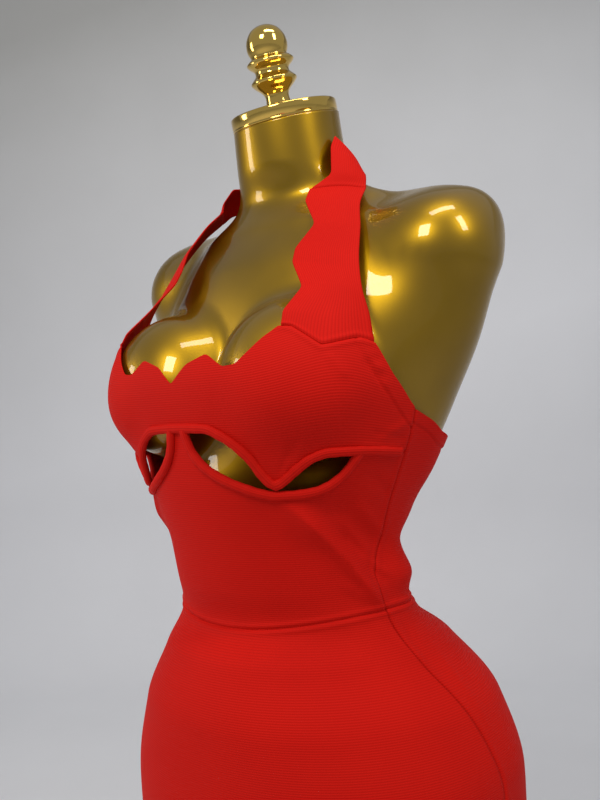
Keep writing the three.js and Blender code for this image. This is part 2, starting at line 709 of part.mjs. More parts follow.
const garment = [
  piece('bust_panel', frontPanel(BUST_COLUMNS, bustBottom, bustTop, 7), RED_JERSEY),
  piece('midriff_panel', frontPanel(MIDRIFF_COLUMNS, aboveWaist, midriffTop, MIDRIFF_ROWS), RED_JERSEY),
  piece('back_panel', backPanel(24, aboveWaist, backTop, BACK_ROWS), RED_JERSEY),
  piece('skirt_front', frontPanel(SKIRT_COLUMNS, () => HEM_HEIGHT, waistHeight, SKIRT_ROWS), RED_JERSEY),
  piece('skirt_back', backPanel(22, () => HEM_HEIGHT, waistHeight, evenShares(SKIRT_ROWS)), RED_JERSEY),
  piece('strap_left', wall(strap), RED_JERSEY),
  piece('strap_right', wall(strap.map((row) => row.map(mirrored).reverse())), RED_JERSEY),
  piece('neckband', wall(neckbandGrid(strap)), RED_JERSEY),
  piece('bust_binding_centre', binding(archFrames, [-innerMitre, innerMitre]), RED_BINDING),
  piece('bust_binding_left', binding(leftArchFrames, [outerMitre]), RED_BINDING),
  piece('bust_binding_right', binding(rightArchFrames, [undefined, -outerMitre]), RED_BINDING),
  piece('midriff_binding_left', binding(leftLeafFrames), RED_BINDING),
  piece('midriff_binding_right', binding(rightLeafFrames), RED_BINDING),
];

const cap = new THREE.Group();
cap.position.copy(capCentre);
cap.rotation.x = radians(NECK_LEAN);
cap.add(
  piece('neck_cap', turned(CAP_OUTLINE, 32), GOLD_PLATE),
  piece('finial', turned(FINIAL_OUTLINE, 20).translate(0, -FINIAL_FORWARD, 0), GOLD_PLATE),
);

const torso = new THREE.Group();
torso.position.set(0, -TORSO_FORWARD, WAIST_HEIGHT);
torso.add(...garment, piece('dress_form', rings(FORM_RINGS.map(formRing)), GOLD_LACQUER), cap);

const dress = new THREE.Group();
dress.add(
  torso,
  piece('stand_pole', turned(POLE_OUTLINE, 20), GOLD_PLATE),
  piece('stand_base', turned(BASE_OUTLINE, 40), GOLD_PLATE),
);

export default dress;
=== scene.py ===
"""A halter bodycon dress in ribbed knit, on a gold dress form with a round stand.

Lengths are in millimetres on the torso, whose waist is at height 0 and which faces -Y. They
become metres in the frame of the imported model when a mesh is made.
"""

import logging
import math
from dataclasses import dataclass, field
from enum import Enum
from typing import Callable, Optional, Sequence

import bmesh
import bpy
import numpy as np
from mathutils import Matrix, Vector


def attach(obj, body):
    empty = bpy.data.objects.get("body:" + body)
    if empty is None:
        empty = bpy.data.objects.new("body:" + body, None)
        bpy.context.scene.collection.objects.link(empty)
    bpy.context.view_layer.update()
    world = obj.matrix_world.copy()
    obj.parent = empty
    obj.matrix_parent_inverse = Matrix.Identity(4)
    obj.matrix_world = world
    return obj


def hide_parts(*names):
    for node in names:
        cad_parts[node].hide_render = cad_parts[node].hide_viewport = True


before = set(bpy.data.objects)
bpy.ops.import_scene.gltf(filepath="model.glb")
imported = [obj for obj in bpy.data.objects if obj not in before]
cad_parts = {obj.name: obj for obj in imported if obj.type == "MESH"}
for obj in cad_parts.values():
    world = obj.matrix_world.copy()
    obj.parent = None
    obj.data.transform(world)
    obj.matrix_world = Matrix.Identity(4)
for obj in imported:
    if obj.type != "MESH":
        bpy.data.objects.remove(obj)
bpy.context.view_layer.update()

logging.basicConfig(level=logging.INFO, format="%(message)s")
log = logging.getLogger("dress")

Array = np.ndarray
Rows = Sequence[Sequence[float]]

MM = 0.001
TORSO = np.array([0.0, -30.0, 620.0])
CLOTH = 1.6
SHELL_THICKNESS = 1.2
CLEARANCE = 0.9
SEAM_GAP = 0.3
HEM_HEIGHT = -420.0
WAIST_CENTRE = -3  # the waist seam's height at the centre, and its climb to the sides
WAIST_CLIMB = 14
MM_PER_DEGREE = 2.3
EDGE_SCALE = 2.35  # millimetres for each degree at the bust panel's upper edge
BINDING_WIDTH = 7.6
BINDING_THICKNESS = 6.0
BINDING_STEP = 1.2
TUCK = 2.4
SEAM_LAP = 0.04
BLEND = {"slope": 25, "shoulder": 35, "cleavage": 8, "bust": 16, "cloth": 8}

# height, half width, front, back, front power, back power, widest
TRUNK = [
    (-445, 149, 108, 118, 2.3, 2.3, 20), (-340, 164, 114, 138, 2.3, 2.3, 30),
    (-260, 174, 117, 152, 2.3, 2.3, 40), (-200, 175, 120, 156, 2.25, 2.3, 44),
    (-140, 174, 125, 165, 2.2, 2.3, 42), (-80, 157, 125, 163, 2.1, 2.2, 34),
    (-30, 125, 112, 127, 2.05, 2.1, 16), (0, 109, 92, 77, 2.05, 2.1, 0),
    (35, 102, 89, 42, 2.05, 2.1, -6), (65, 102, 89, 45, 2.1, 2.1, -12),
    (120, 113, 93, 58, 2.2, 2.2, -18), (180, 136, 91, 82, 2.3, 2.3, -5),
    (240, 154, 82, 104, 2.3, 2.3, 11), (300, 132, 65, 100, 2.2, 2.2, 17),
    (340, 110, 43, 75, 2.1, 2.1, 16), (370, 70, 30, 75, 2, 2, 22),
    (400, 53, 42, 62, 2, 2, 10), (500, 48, 54, 44, 2, 2, -5),
]
SHELL = [
    (-420, 156, 114, 128, 2.3, 2.3, 20), (-340, 168, 118, 142, 2.3, 2.3, 30),
    (-260, 178, 121, 156, 2.3, 2.3, 40), (-200, 179, 124, 160, 2.25, 2.3, 44),
    (-140, 178, 129, 169, 2.2, 2.3, 42), (-80, 161, 129, 167, 2.1, 2.2, 34),
    (-30, 129, 116, 132, 2.05, 2.1, 16), (0, 113, 96, 80, 2.05, 2.1, 0),
    (30, 108, 106, 50, 2.05, 2.1, -4), (63, 108, 115, 52, 2.05, 2.2, -6),
    (90, 114, 124, 66, 2.05, 2.4, -6), (120, 127, 133, 78, 2.1, 2.6, -4),
    (160, 143, 141, 94, 2.4, 2.7, 0), (200, 148, 148, 104, 2.7, 2.4, 0),
    (240, 144, 139, 118, 2.6, 2.2, 0), (280, 140, 111, 125, 2.4, 2.2, 0),
]
BUST_MASS = {"x": 67, "y": -74, "z": 191, "rx": 67.5, "ry": 66, "above": 76, "below": 55}
SHOULDER_CAP = ((147, 23, 303), (102, 20, 142), (52, 25))
SHOULDER_SLOPE = ((29, 26, 354), (160, 49, 334), (28, 22))

# height of the rays' origin, climb, lean
FORM_RINGS = [
    (-445, 0, 0), (-350, 0, 0), (-205, 0, 0), (-90, 0, 0), (-30, 0, 0), (22, 0, 0), (84, 0, 0),
    (134, 0, 0), (168, 0, 0), (208, 0, 0), (229, 3, 0), (248, 7, 0), (262, 12, 0), (276, 18, 0),
    (290, 24, 0), (304, 29, 0), (318, 32, 0), (334, 33, 0), (350, 29, 0), (366, 22, 2),
    (381, 15, 4), (397, 8, 7), (415, 3, 11), (431, 0, 13), (446, 0, 16),
]
NECK_LEAN = 16

# Edges of the pieces as angle from the centre front and height
SIDE_SEAM = [
    (-420, 98), (-250, 102), (-145, 102), (-100, 99.5), (-60, 94), (-25, 86), (10, 79),
    (40, 75.5), (70, 79), (110, 79.5), (140, 80), (180, 81),
]
BUST_TOP = [
    (0, 199), (6.5, 214), (14.5, 221), (20.5, 210), (25, 211), (33, 230), (38, 239), (41, 238),
    (48.5, 223), (59, 229), (64.4, 226), (70, 202), (78, 181), (82, 172),
]
CUP_POINT = 34
BUST_HEM = [
    (0, 161), (12, 160), (17, 155), (21, 148.5), (25, 139), (29, 124), (31.5, 117.5), (34, 115),
    (36.5, 117.5), (39, 122), (42.5, 129.5), (46.5, 136.5), (51, 140), (60, 140.5), (82, 137),
]
MIDRIFF_TOP = [
    (4.9, 159.8), (6.2, 149.5), (9, 140), (13, 132.3), (18, 125.8), (24, 120), (29, 116.2),
    (34, 114.2), (40, 114.4), (46, 116), (50.5, 119.5), (54.5, 126), (57, 133), (58.6, 139.4),
]
BACK_TOP = [(81, 174), (90, 165), (98, 155), (110, 150), (180, 146)]
STRAP_SEAM = [38, 41, 44.5, 48.5, 53.7, 59, 64.4]
MIDRIFF_KEYS = [0, 1.6, 2.6, 3.8, 5.4, 7.6, 10.5, 14, 19, 26, 34, 42, 49, 55, 58, 60, 61.5, 63,
                68, 74, 79]
BUST_KEYS = [0, 6.5, 14.5, 20.5, 25, 29, 34, 38, 41, 48.5, 59, 64.4, 70, 78, 82]

STRAP_INNER = [
    (93, -117, 249), (92, -92, 270), (71, -78, 294), (69, -71, 307), (77, -55, 328),
    (59, -45, 352), (53, -31, 366),
]
STRAP_OUTER = [
    (133, -63, 247), (127, -62, 266), (121, -56, 283), (115, -48, 299), (106, -33, 324),
    (95, -17, 348), (88, 2, 366),
]
BAND_TOP = [
    (53, -31, 366), (66, -17, 380), (59, -8, 408), (55, 3, 421), (53, 14, 412), (52, 27, 396),
    (45, 41, 404), (36, 52, 410), (27, 62, 400), (14, 68, 412), (0, 70, 415),
]
BAND_BOTTOM = [
    (88, 2, 366), (82, 10, 380), (71, 21, 388), (58, 37, 391), (43, 57, 390), (23, 71, 387),
    (0, 76, 385),
]
RIBBON_BOW = 3
STRAP_LENGTH, STRAP_WIDTH = 150, 52
BAND_LENGTH, BAND_WIDTH = 320, 34

# Folds: angle, height, to angle, to height, rise, width. The first two are the solids' own.
RIDGES = [
    (33, 114, 81, 10, 5.5, 12), (46, 114, 86, 40, -4.5, 16), (33, 112, 79, 10, 3.8, 4.6),
    (52, 96, 77, 52, 1.6, 5),
    (52, 92, 82, 26, -2.4, 6), (44, 82, 74, 22, -1.2, 6), (62, 104, 80, 70, 1.6, 5),
    (66, 60, 84, 36, 1.5, 3.5), (64, 128, 80, 104, -1.2, 4), (54, 40, 80, 12, 1.0, 5),
]
BUST_FOLDS = [
    (57, 149, 80, 143, 1.1, 2.6), (62, 158, 81, 150, -0.9, 3), (60, 214, 68, 190, -1.0, 3),
    (66, 150, 80, 166, 1.0, 4), (35, 124, 42, 158, -1.0, 3.5), (49, 220, 55, 196, 0.8, 3),
    (33, 112, 28, 150, 0.7, 1.8), (35, 112, 39, 142, 0.7, 1.8), (37, 114, 46, 146, -0.6, 2.0),
]
SKIRT_FOLDS = [
    (70, 6, 92, -40, 0.9, 5), (86, 4, 97, -60, -0.8, 4), (56, 2, 72, -34, -0.5, 6),
    (99, -20, 104, -110, 0.8, 5),
]
# height, rise, half height, from angle
ROLLS = [(36, 7, 13, 76), (64, -3, 10, 84), (92, 2, 14, 110)]
FINE_ROLLS = [(22, 1.4, 4, 92), (50, 1.6, 5, 96), (76, 1.5, 5, 100), (12, -1.2, 3, 90)]

FINIAL_OUTLINE = [
    (0, 0), (11, 0), (11, 12), (13.5, 17), (18.5, 21.5), (21.5, 25.5), (19.5, 28.5), (16.2, 32),
    (16.2, 36), (20, 39.5), (22, 42.5), (19.5, 45.5), (16.8, 47.5), (18.6, 53), (19, 58),
    (17.5, 64.5), (13, 71), (7, 74.5), (0, 76),
]


# Curves and surfaces


def smooth_step(value: Array, low: float, high: float) -> Array:
    """Rises smoothly from 0 at low to 1 at high."""
    t = np.clip((value - low) / (high - low), 0, 1)
    return t * t * (3 - 2 * t)


def smooth_min(a: Array, b: Array, k: float) -> Array:
    """The smaller of two distances, rounded over a length k where they meet."""
    h = np.clip(0.5 + 0.5 * (b - a) / k, 0, 1)
    return b * (1 - h) + a * h - k * h * (1 - h)


def profile(x: Sequence[float], y: Sequence[float]) -> Callable[[Array], Array]:
    """A monotone cubic through points.

    Args:
        x: Rising places.
        y: The value at each place.

    Returns:
        A function that reads the curve at any places.
    """
    xs, ys = np.asarray(x, float), np.asarray(y, float)
    slope = np.diff(ys) / np.diff(xs)
    tangent = np.concatenate([slope[:1], np.zeros(len(slope) - 1), slope[-1:]])
    product = slope[:-1] * slope[1:]
    total = slope[:-1] + slope[1:]
    tangent[1:-1] = np.where(product > 0, 2 * product / np.where(total == 0, 1, total), 0)

    def read(at: Array) -> Array:
        at = np.clip(np.asarray(at, float), xs[0], xs[-1])
        i = np.clip(np.searchsorted(xs, at, side="right") - 1, 0, len(xs) - 2)
        h = xs[i + 1] - xs[i]
        t = (at - xs[i]) / h
        return ((2 * t**3 - 3 * t**2 + 1) * ys[i] + (t**3 - 2 * t**2 + t) * h * tangent[i]
                + (3 * t**2 - 2 * t**3) * ys[i + 1] + (t**3 - t**2) * h * tangent[i + 1])

    return read


def read_rows(rows: Rows) -> Callable[[Array], Array]:
    """A monotone cubic through rows of place and value."""
    return profile([row[0] for row in rows], [row[1] for row in rows])


def soft_line(rows: Rows, softness: float = 0.9) -> Callable[[Array], Array]:
    """Straight lines through rows of place and value, with their corners a little rounded.

    Args:
        rows: Place and value.
        softness: How far to either side a corner is rounded.

    Returns:
        A function that reads the line at any places.
    """
    xs, ys = [row[0] for row in rows], [row[1] for row in rows]

    def read(at: Array) -> Array:
        offsets = np.linspace(-softness, softness, 7)
        total = sum(np.interp(np.abs(at + offset), xs, ys) for offset in offsets)
        return total / len(offsets)

    return read


def section_gap(rows: Rows) -> Callable[[Array], Array]:
    """Distance to a stack of sections, each two half superellipses."""
    heights = [row[0] for row in rows]
    reads = [profile(heights, [row[i] for row in rows]) for i in range(1, 7)]

    def gap(p: Array) -> Array:
        half_width, front, back, front_power, back_power, widest = (r(p[..., 2]) for r in reads)
        offset = p[..., 1] - widest
        ahead = offset < 0
        depth = np.where(ahead, front + widest, back - widest)
        power = np.where(ahead, front_power, back_power)
        reach = np.abs(p[..., 0] / half_width) ** power + np.abs(offset / depth) ** power
        # The scale turns over softly at the sides, so that blended surfaces have no step there.
        behind = smooth_step(offset, -40, 40)
        scale = (front + widest) * (1 - behind) + (back - widest) * behind
        return (reach ** (1 / power) - 1) * np.minimum(half_width, scale)

    return gap


def round_cone_gap(shape: Sequence[Sequence[float]]) -> Callable[[Array], Array]:
    """Distance to a cone with ball ends, given as from, to and the two radii."""
    start, end, radii = (np.array(part, float) for part in shape)
    axis = end - start

    def gap(p: Array) -> Array:
        t = np.clip(((p - start) @ axis) / (axis @ axis), 0, 1)
        away = np.linalg.norm(p - start - t[..., None] * axis, axis=-1)
        return away - (radii[0] + t * (radii[1] - radii[0]))

    return gap


def bust_gap(p: Array, side: int) -> Array:
    """Distance to the bust mass on one side."""
    b = BUST_MASS
    rz = np.where(p[..., 2] > b["z"], b["above"], b["below"])
    reach = np.sqrt(((p[..., 0] - side * b["x"]) / b["rx"]) ** 2
                    + ((p[..., 1] - b["y"]) / b["ry"]) ** 2 + ((p[..., 2] - b["z"]) / rz) ** 2)
    return (reach - 1) * b["ry"]


TRUNK_GAP = section_gap(TRUNK)
SHELL_GAP = section_gap(SHELL)
SHOULDER_GAP = round_cone_gap(SHOULDER_CAP)
SLOPE_GAP = round_cone_gap(SHOULDER_SLOPE)


def form_gap(p: Array) -> Array:
    """Distance to the dress form."""
    away = np.stack([np.abs(p[..., 0]), p[..., 1], p[..., 2]], -1)
    gap = smooth_min(TRUNK_GAP(p), SLOPE_GAP(away), BLEND["slope"])
    gap = smooth_min(gap, SHOULDER_GAP(away), BLEND["shoulder"])
    bust = smooth_min(bust_gap(p, 1), bust_gap(p, -1), BLEND["cleavage"])
    return smooth_min(gap, bust, BLEND["bust"])


def cloth_gap(p: Array) -> Array:
    """Distance to the inner face of the cloth."""
    return smooth_min(SHELL_GAP(p), form_gap(p) - CLEARANCE, BLEND["cloth"])


def cast(gap: Callable[[Array], Array], origin: Array, direction: Array) -> Array:
    """The outermost point of a surface along each ray."""
    reach, step = 290.0, 5.0
    outside = np.full(origin.shape[:-1], reach)
    travels = np.ones(outside.shape, bool)
    while travels.any() and outside.min() > step:
        trial = origin + direction * (outside - step)[..., None]
        travels &= gap(trial) > 0
        outside = np.where(travels, outside - step, outside)
    inside = outside - step
    for _ in range(14):
        middle = (inside + outside) / 2
        clear = gap(origin + direction * middle[..., None]) > 0
        outside = np.where(clear, middle, outside)
        inside = np.where(clear, inside, middle)
    return origin + direction * ((inside + outside) / 2)[..., None]


def outwards(gap: Callable[[Array], Array], p: Array) -> Array:
    """The outward normal of a surface at points on it."""
    steps = 0.5 * np.eye(3)
    slope = np.stack([gap(p + s) - gap(p - s) for s in steps], -1)
    return slope / np.linalg.norm(slope, axis=-1, keepdims=True)


def level_normal(normal: Array) -> Array:
    """A normal turned level, so that a rise along it keeps its height."""
    level = normal * np.array([1.0, 1.0, 0.0])
    return level / np.linalg.norm(level, axis=-1, keepdims=True)


def arc_scale(point: Array) -> Array:
    """Millimetres of arc for each degree at points round the torso's axis."""
    return np.hypot(point[..., 0], point[..., 1]) * math.pi / 180


def line_rise(folds: Rows, angle: Array, height: Array) -> Array:
    """Rise of soft folds that each run along a line, a little uneven from side to side."""
    away = np.abs(angle)
    uneven = np.where(angle < 0, 0.8, 1.0)
    shift = np.where(angle < 0, 3.0, 0.0)
    rise = np.zeros(angle.shape)
    for start_angle, start, end_angle, end, top, width in folds:
        span = np.array([(end_angle - start_angle) * MM_PER_DEGREE, end - start])
        length = np.hypot(*span)
        dx, dy = (away - start_angle) * MM_PER_DEGREE, height - start - shift
        along = (dx * span[0] + dy * span[1]) / length
        across = (dx * span[1] - dy * span[0]) / length
        fade = smooth_step(along, 0, length * 0.3) * (1 - smooth_step(along, length * 0.75, length))
        rise += top * uneven * fade * np.exp(-((across / width) ** 2))
    return rise


def roll_rise(rolls: Rows, angle: Array, height: Array) -> Array:
    """Rise of the slack rolls round the back of the waist."""
    away = np.abs(angle)
    rise = np.zeros(angle.shape)
    for level, top, half_height, start in rolls:
        fade = smooth_step(away, start, start + 22)
        wander = 3.0 * np.sin(np.radians(angle * 3.1) + level)
        rise += top * fade * np.exp(-(((height - level - wander * (top < 3)) / half_height) ** 2))
    return rise


@dataclass
class Cloth:
    """Points of a cloth face with their normals."""

    point: Array
    normal: Array


def cloth_at(angle: Array, height: Array, folds: Rows = (), rolls: Rows = ()) -> Cloth:
    """The cloth's inner face at angles and heights.

    Args:
        angle: Degrees from the centre front.
        height: Height over the waist.
        folds: Folds along lines.
        rolls: Rolls round the back.

    Returns:
        The points with their normals.
    """
    angle, height = np.broadcast_arrays(np.asarray(angle, float), np.asarray(height, float))
    turn = np.radians(angle)
    direction = np.stack([np.sin(turn), -np.cos(turn), 0 * turn], -1)
    origin = np.stack([0 * turn, 0 * turn, height], -1)
    point = cast(cloth_gap, origin, direction)
    normal = outwards(cloth_gap, point)
    rise = line_rise(folds, angle, height) + roll_rise(rolls, angle, height)
    return Cloth(point + level_normal(normal) * rise[..., None], normal)


def distance_to_line(x: Array, y: Array, line: Array) -> Array:
    """Flat distance from points to a broken line."""
    best = np.full(x.shape, 1e9)
    for (ax, ay), (bx, by) in zip(line[:-1], line[1:]):
        dx, dy = bx - ax, by - ay
        t = np.clip(((x - ax) * dx + (y - ay) * dy) / (dx * dx + dy * dy), 0, 1)
        best = np.minimum(best, np.hypot(x - ax - t * dx, y - ay - t * dy))
    return best


def seam_rise(distance: Array, ridge: float = 0.6, groove: float = 0.9) -> Array:
    """A turned seam beside an edge: a padded ridge that falls into the stitching line."""
    return (ridge * np.exp(-(((distance - 3.2) / 2.0) ** 2))
            - groove * np.exp(-((distance / 1.1) ** 2)))


def hem_rise(distance: Array, width: float, rise: float, stitching: float = 1.2) -> Array:
    """A turned hem: cloth laid double beside an edge, with a stitched line where it ends."""
    return (rise * (1 - smooth_step(distance, width - 2, width))
            - rise * np.exp(-(((distance - width) / stitching) ** 2)))


SEAM_ANGLE = read_rows(SIDE_SEAM)
BUST_LINE = soft_line(BUST_TOP)
BACK_LINE = read_rows(BACK_TOP)
HEM_LINE = read_rows(BUST_HEM)


def waist_height(angle: Array) -> Array:
    """Height of the waist seam at an angle."""
    turn = np.radians(np.minimum(np.abs(angle), 90))
    return WAIST_CENTRE + WAIST_CLIMB * np.sin(turn) ** 2


# Meshes


def crowded(count: int, low: bool = True) -> Array:
    """Shares from 0 to 1 that lie closer together at both ends, or only at the high one."""
    t = np.linspace(0, 1, count)
    if low:
        return t - 0.85 * np.sin(2 * np.pi * t) / (2 * np.pi)
    return 1 - (1 - t) ** 1.5


def fine_columns(keys: Sequence[float], step: float) -> Array:
    """Angles on both sides of the centre front that include every named angle."""
    half = [float(keys[0])]
    for a, b in zip(keys[:-1], keys[1:]):
        count = max(2, round((b - a) / step))
        half += [a + (b - a) * k / count for k in range(1, count + 1)]
    return np.array([-a for a in half[:0:-1]] + half)


def mesh_from_grid(name: str, points: Array, uv: Array, ring: bool = False,
                   caps: bool = False) -> bpy.types.Object:
    """A smooth mesh whose vertices follow a grid of points.

    Args:
        name: The object's name.
        points: Rows by columns by three, in torso millimetres.
        uv: Rows by columns by two, in metres.
        ring: Whether the last column closes on the first.
        caps: Whether the open ends are filled.

    Returns:
        The object, at the origin.
    """
    rows, columns = points.shape[:2]
    bm = bmesh.new()
    bmesh.ops.create_grid(bm, x_segments=columns - 1, y_segments=rows - 1, size=1.0)
    layer = bm.loops.layers.uv.new("UVMap")
    place = {}
    for vert in bm.verts:
        j = round((vert.co.x + 1) / 2 * (columns - 1))
        i = round((vert.co.y + 1) / 2 * (rows - 1))
        place[vert.index] = (i, j)
    world = (points + TORSO) * MM
    for face in bm.faces:
        for loop in face.loops:
            loop[layer].uv = uv[place[loop.vert.index]]
    for vert in bm.verts:
        vert.co = world[place[vert.index]]
    if ring:
        bmesh.ops.remove_doubles(bm, verts=bm.verts, dist=1e-6)
    if caps:
        rim = [edge for edge in bm.edges if edge.is_boundary]
        bmesh.ops.holes_fill(bm, edges=rim, sides=0)
    return link_mesh(name, bm)


def link_mesh(name: str, bm: bmesh.types.BMesh) -> bpy.types.Object:
    """Turns a finished bmesh into a smooth-shaded object in the scene."""
    mesh = bpy.data.meshes.new(name)
    bm.to_mesh(mesh)
    bm.free()
    mesh.polygons.foreach_set("use_smooth", [True] * len(mesh.polygons))
    obj = bpy.data.objects.new(name, mesh)
    bpy.context.scene.collection.objects.link(obj)
    return obj


def thicken(obj: bpy.types.Object, thickness: float = SHELL_THICKNESS) -> None:
    """Gives a cloth face its wall, inwards from the face that shows."""
    wall = obj.modifiers.new("wall", "SOLIDIFY")
    wall.thickness = thickness * MM
    wall.offset = -1
    wall.use_even_offset = False


def grid_uv(u: Array, v: Array) -> Array:
    """A UV grid in metres from places in millimetres."""
    return np.stack(np.broadcast_arrays(u, v), -1) * MM


def grid_normals(points: Array) -> Array:
    """Normals of a grid, facing out when columns run right and rows run up."""
    across = np.gradient(points, axis=1)
    up = np.gradient(points, axis=0)
    normal = np.cross(across, up)
    return normal / np.maximum(np.linalg.norm(normal, axis=-1, keepdims=True), 1e-9)


# Finishes

WAVE_PITCH = 0.314159  # a wave texture's scale for one band in each unit


def linear(code: str) -> tuple[float, float, float, float]:
    """Linear colour of an sRGB hex code."""
    parts = [int(code[i:i + 2], 16) / 255 for i in (1, 3, 5)]
    values = [c / 12.92 if c <= 0.04045 else ((c + 0.055) / 1.055) ** 2.4 for c in parts]
    return (values[0], values[1], values[2], 1.0)


def add_node(tree: bpy.types.NodeTree, kind: str, settings: Optional[dict] = None,
             links: Optional[dict] = None) -> bpy.types.Node:
    """Adds a node.

    Args:
        tree: The material's tree.
        kind: The node's type.
        settings: Attributes, or socket values under their socket's name or number.
        links: Output sockets that feed its inputs, under the input's name or number.

    Returns:
        The node.
    """
    node = tree.nodes.new(kind)
    for key, value in (settings or {}).items():
        if isinstance(key, str) and hasattr(node, key):
            setattr(node, key, value)
        else:
            node.inputs[key].default_value = value
    for key, socket in (links or {}).items():
        tree.links.new(socket, node.inputs[key])
    return node


def noise(tree: bpy.types.NodeTree, scale: float, detail: float) -> bpy.types.NodeSocket:
    """Noise over the object's own coordinates."""
    position = add_node(tree, "ShaderNodeTexCoord")
    return add_node(tree, "ShaderNodeTexNoise", {"Scale": scale, "Detail": detail},
                    {"Vector": position.outputs["Object"]}).outputs["Fac"]


def mix_colours(tree: bpy.types.NodeTree, low: str, high: str,
                factor: bpy.types.NodeSocket) -> bpy.types.NodeSocket:
    """A colour between two hex codes."""
    return add_node(tree, "ShaderNodeMix", {
        "data_type": "RGBA", 6: linear(low), 7: linear(high),
    }, {0: factor}).outputs[2]


def new_material(name: str, settings: dict) -> tuple[bpy.types.Material, bpy.types.NodeTree,
                                                     bpy.types.Node]:
    """A material with an empty tree but for its surface shader, with its settings, and output."""
    material = bpy.data.materials.new(name)
    material.use_nodes = True
    tree = material.node_tree
    tree.nodes.clear()
    shader = add_node(tree, "ShaderNodeBsdfPrincipled", settings)
    add_node(tree, "ShaderNodeOutputMaterial", links={"Surface": shader.outputs[0]})
    return material, tree, shader


@dataclass(frozen=True)
class RibKnit:
    """Viscose and elastane bandage knit: matt, dense, with fine crosswise ribs and painted shade in
    their valleys.
    """

    name: str = "viscose_bandage_knit"
    face: str = "#D8190C"
    # Painted shade: the darker colour that the rib valleys are mixed towards
    valley_shade: str = "#A00904"
    shade: str = "#CC130A"
    rib_mm: float = 1.8
    stitch_mm: float = 1.5

    def make(self) -> bpy.types.Material:
        """Builds the material. The UV map is in metres, with V across the ribs."""
        material, tree, shader = new_material(self.name, {
            "Roughness": 0.72, "Specular IOR Level": 0.09, "Sheen Weight": 0.04,
            "Sheen Roughness": 0.45, "Sheen Tint": linear("#FF3018"),
        })
        uv = add_node(tree, "ShaderNodeUVMap", {"uv_map": "UVMap"})
        # Two courses are drawn as one rib, because a single one is too fine to show.
        ribs = add_node(tree, "ShaderNodeTexWave", {
            "wave_type": "BANDS", "bands_direction": "Y", "wave_profile": "SIN",
            "Scale": WAVE_PITCH / (self.rib_mm * MM), "Distortion": 0.35, "Detail": 1.0,
            "Detail Scale": 1.6,
        }, {"Vector": uv.outputs[0]})
        stitches = add_node(tree, "ShaderNodeTexWave", {
            "wave_type": "BANDS", "bands_direction": "X", "wave_profile": "SIN",
            "Scale": WAVE_PITCH / (self.stitch_mm * MM), "Distortion": 1.2, "Detail": 2.0,
            "Detail Scale": 2.0,
        }, {"Vector": uv.outputs[0]})
        base = mix_colours(tree, self.shade, self.face, noise(tree, 16.0, 3.0))
        # Painted shade: the colour darkens towards the valley colour in the rib valleys, where
        # shade falls.
        depth = add_node(tree, "ShaderNodeMapRange", {
            "From Min": 0.0, "From Max": 0.55, "To Min": 0.30, "To Max": 0.0,
        }, {"Value": ribs.outputs["Fac"]})
        colour = add_node(tree, "ShaderNodeMix", {"data_type": "RGBA", 7: linear(self.valley_shade)},
                          {0: depth.outputs[0], 6: base})
        weave = add_node(tree, "ShaderNodeMath", {"operation": "MULTIPLY_ADD", 1: 0.28},
                         {0: stitches.outputs["Fac"], 2: ribs.outputs["Fac"]})
        nap = add_node(tree, "ShaderNodeMath", {"operation": "MULTIPLY_ADD", 1: 0.25},
                       {0: noise(tree, 900.0, 2.0), 2: weave.outputs[0]})
        bump = add_node(tree, "ShaderNodeBump", {"Strength": 0.42, "Distance": 0.0003},
                        {"Height": nap.outputs[0]})
        tree.links.new(colour.outputs[2], shader.inputs["Base Color"])
        tree.links.new(bump.outputs[0], shader.inputs["Normal"])
        return material


@dataclass(frozen=True)
class Lacquer:
    """Metal-flake gold paint under clear lacquer on a moulded shell: satin with sharp glints."""

    name: str = "gold_flake_lacquer"
    bright: str = "#BA940C"
    deep: str = "#7E6305"

    def make(self) -> bpy.types.Material:
        """Builds the material."""
        material, tree, shader = new_material(self.name, {
            "Metallic": 0.92, "Coat Weight": 0.75, "Coat Roughness": 0.035,
            "Coat Tint": linear("#FFF8DC"),
        })
        cloud = noise(tree, 9.0, 3.0)
        rough = add_node(tree, "ShaderNodeMapRange", {"To Min": 0.34, "To Max": 0.44},
                         {"Value": cloud})
        bump = add_node(tree, "ShaderNodeBump", {"Strength": 0.06, "Distance": 0.0002},
                        {"Height": noise(tree, 1400.0, 1.0)})
        tree.links.new(mix_colours(tree, self.deep, self.bright, cloud),
                       shader.inputs["Base Color"])
        tree.links.new(rough.outputs[0], shader.inputs["Roughness"])
        tree.links.new(bump.outputs[0], shader.inputs["Normal"])
        return material


@dataclass(frozen=True)
class GoldPlate:
    """Polished gold plate on turned brass: a mirror with faint smears."""

    name: str = "polished_gold_plate"
    colour: str = "#E3BE62"

    def make(self) -> bpy.types.Material:
        """Builds the material."""
        material, tree, shader = new_material(self.name, {
            "Base Color": linear(self.colour), "Metallic": 1.0,
        })
        rough = add_node(tree, "ShaderNodeMapRange", {"To Min": 0.05, "To Max": 0.13},
                         {"Value": noise(tree, 60.0, 4.0)})
        tree.links.new(rough.outputs[0], shader.inputs["Roughness"])
        return material


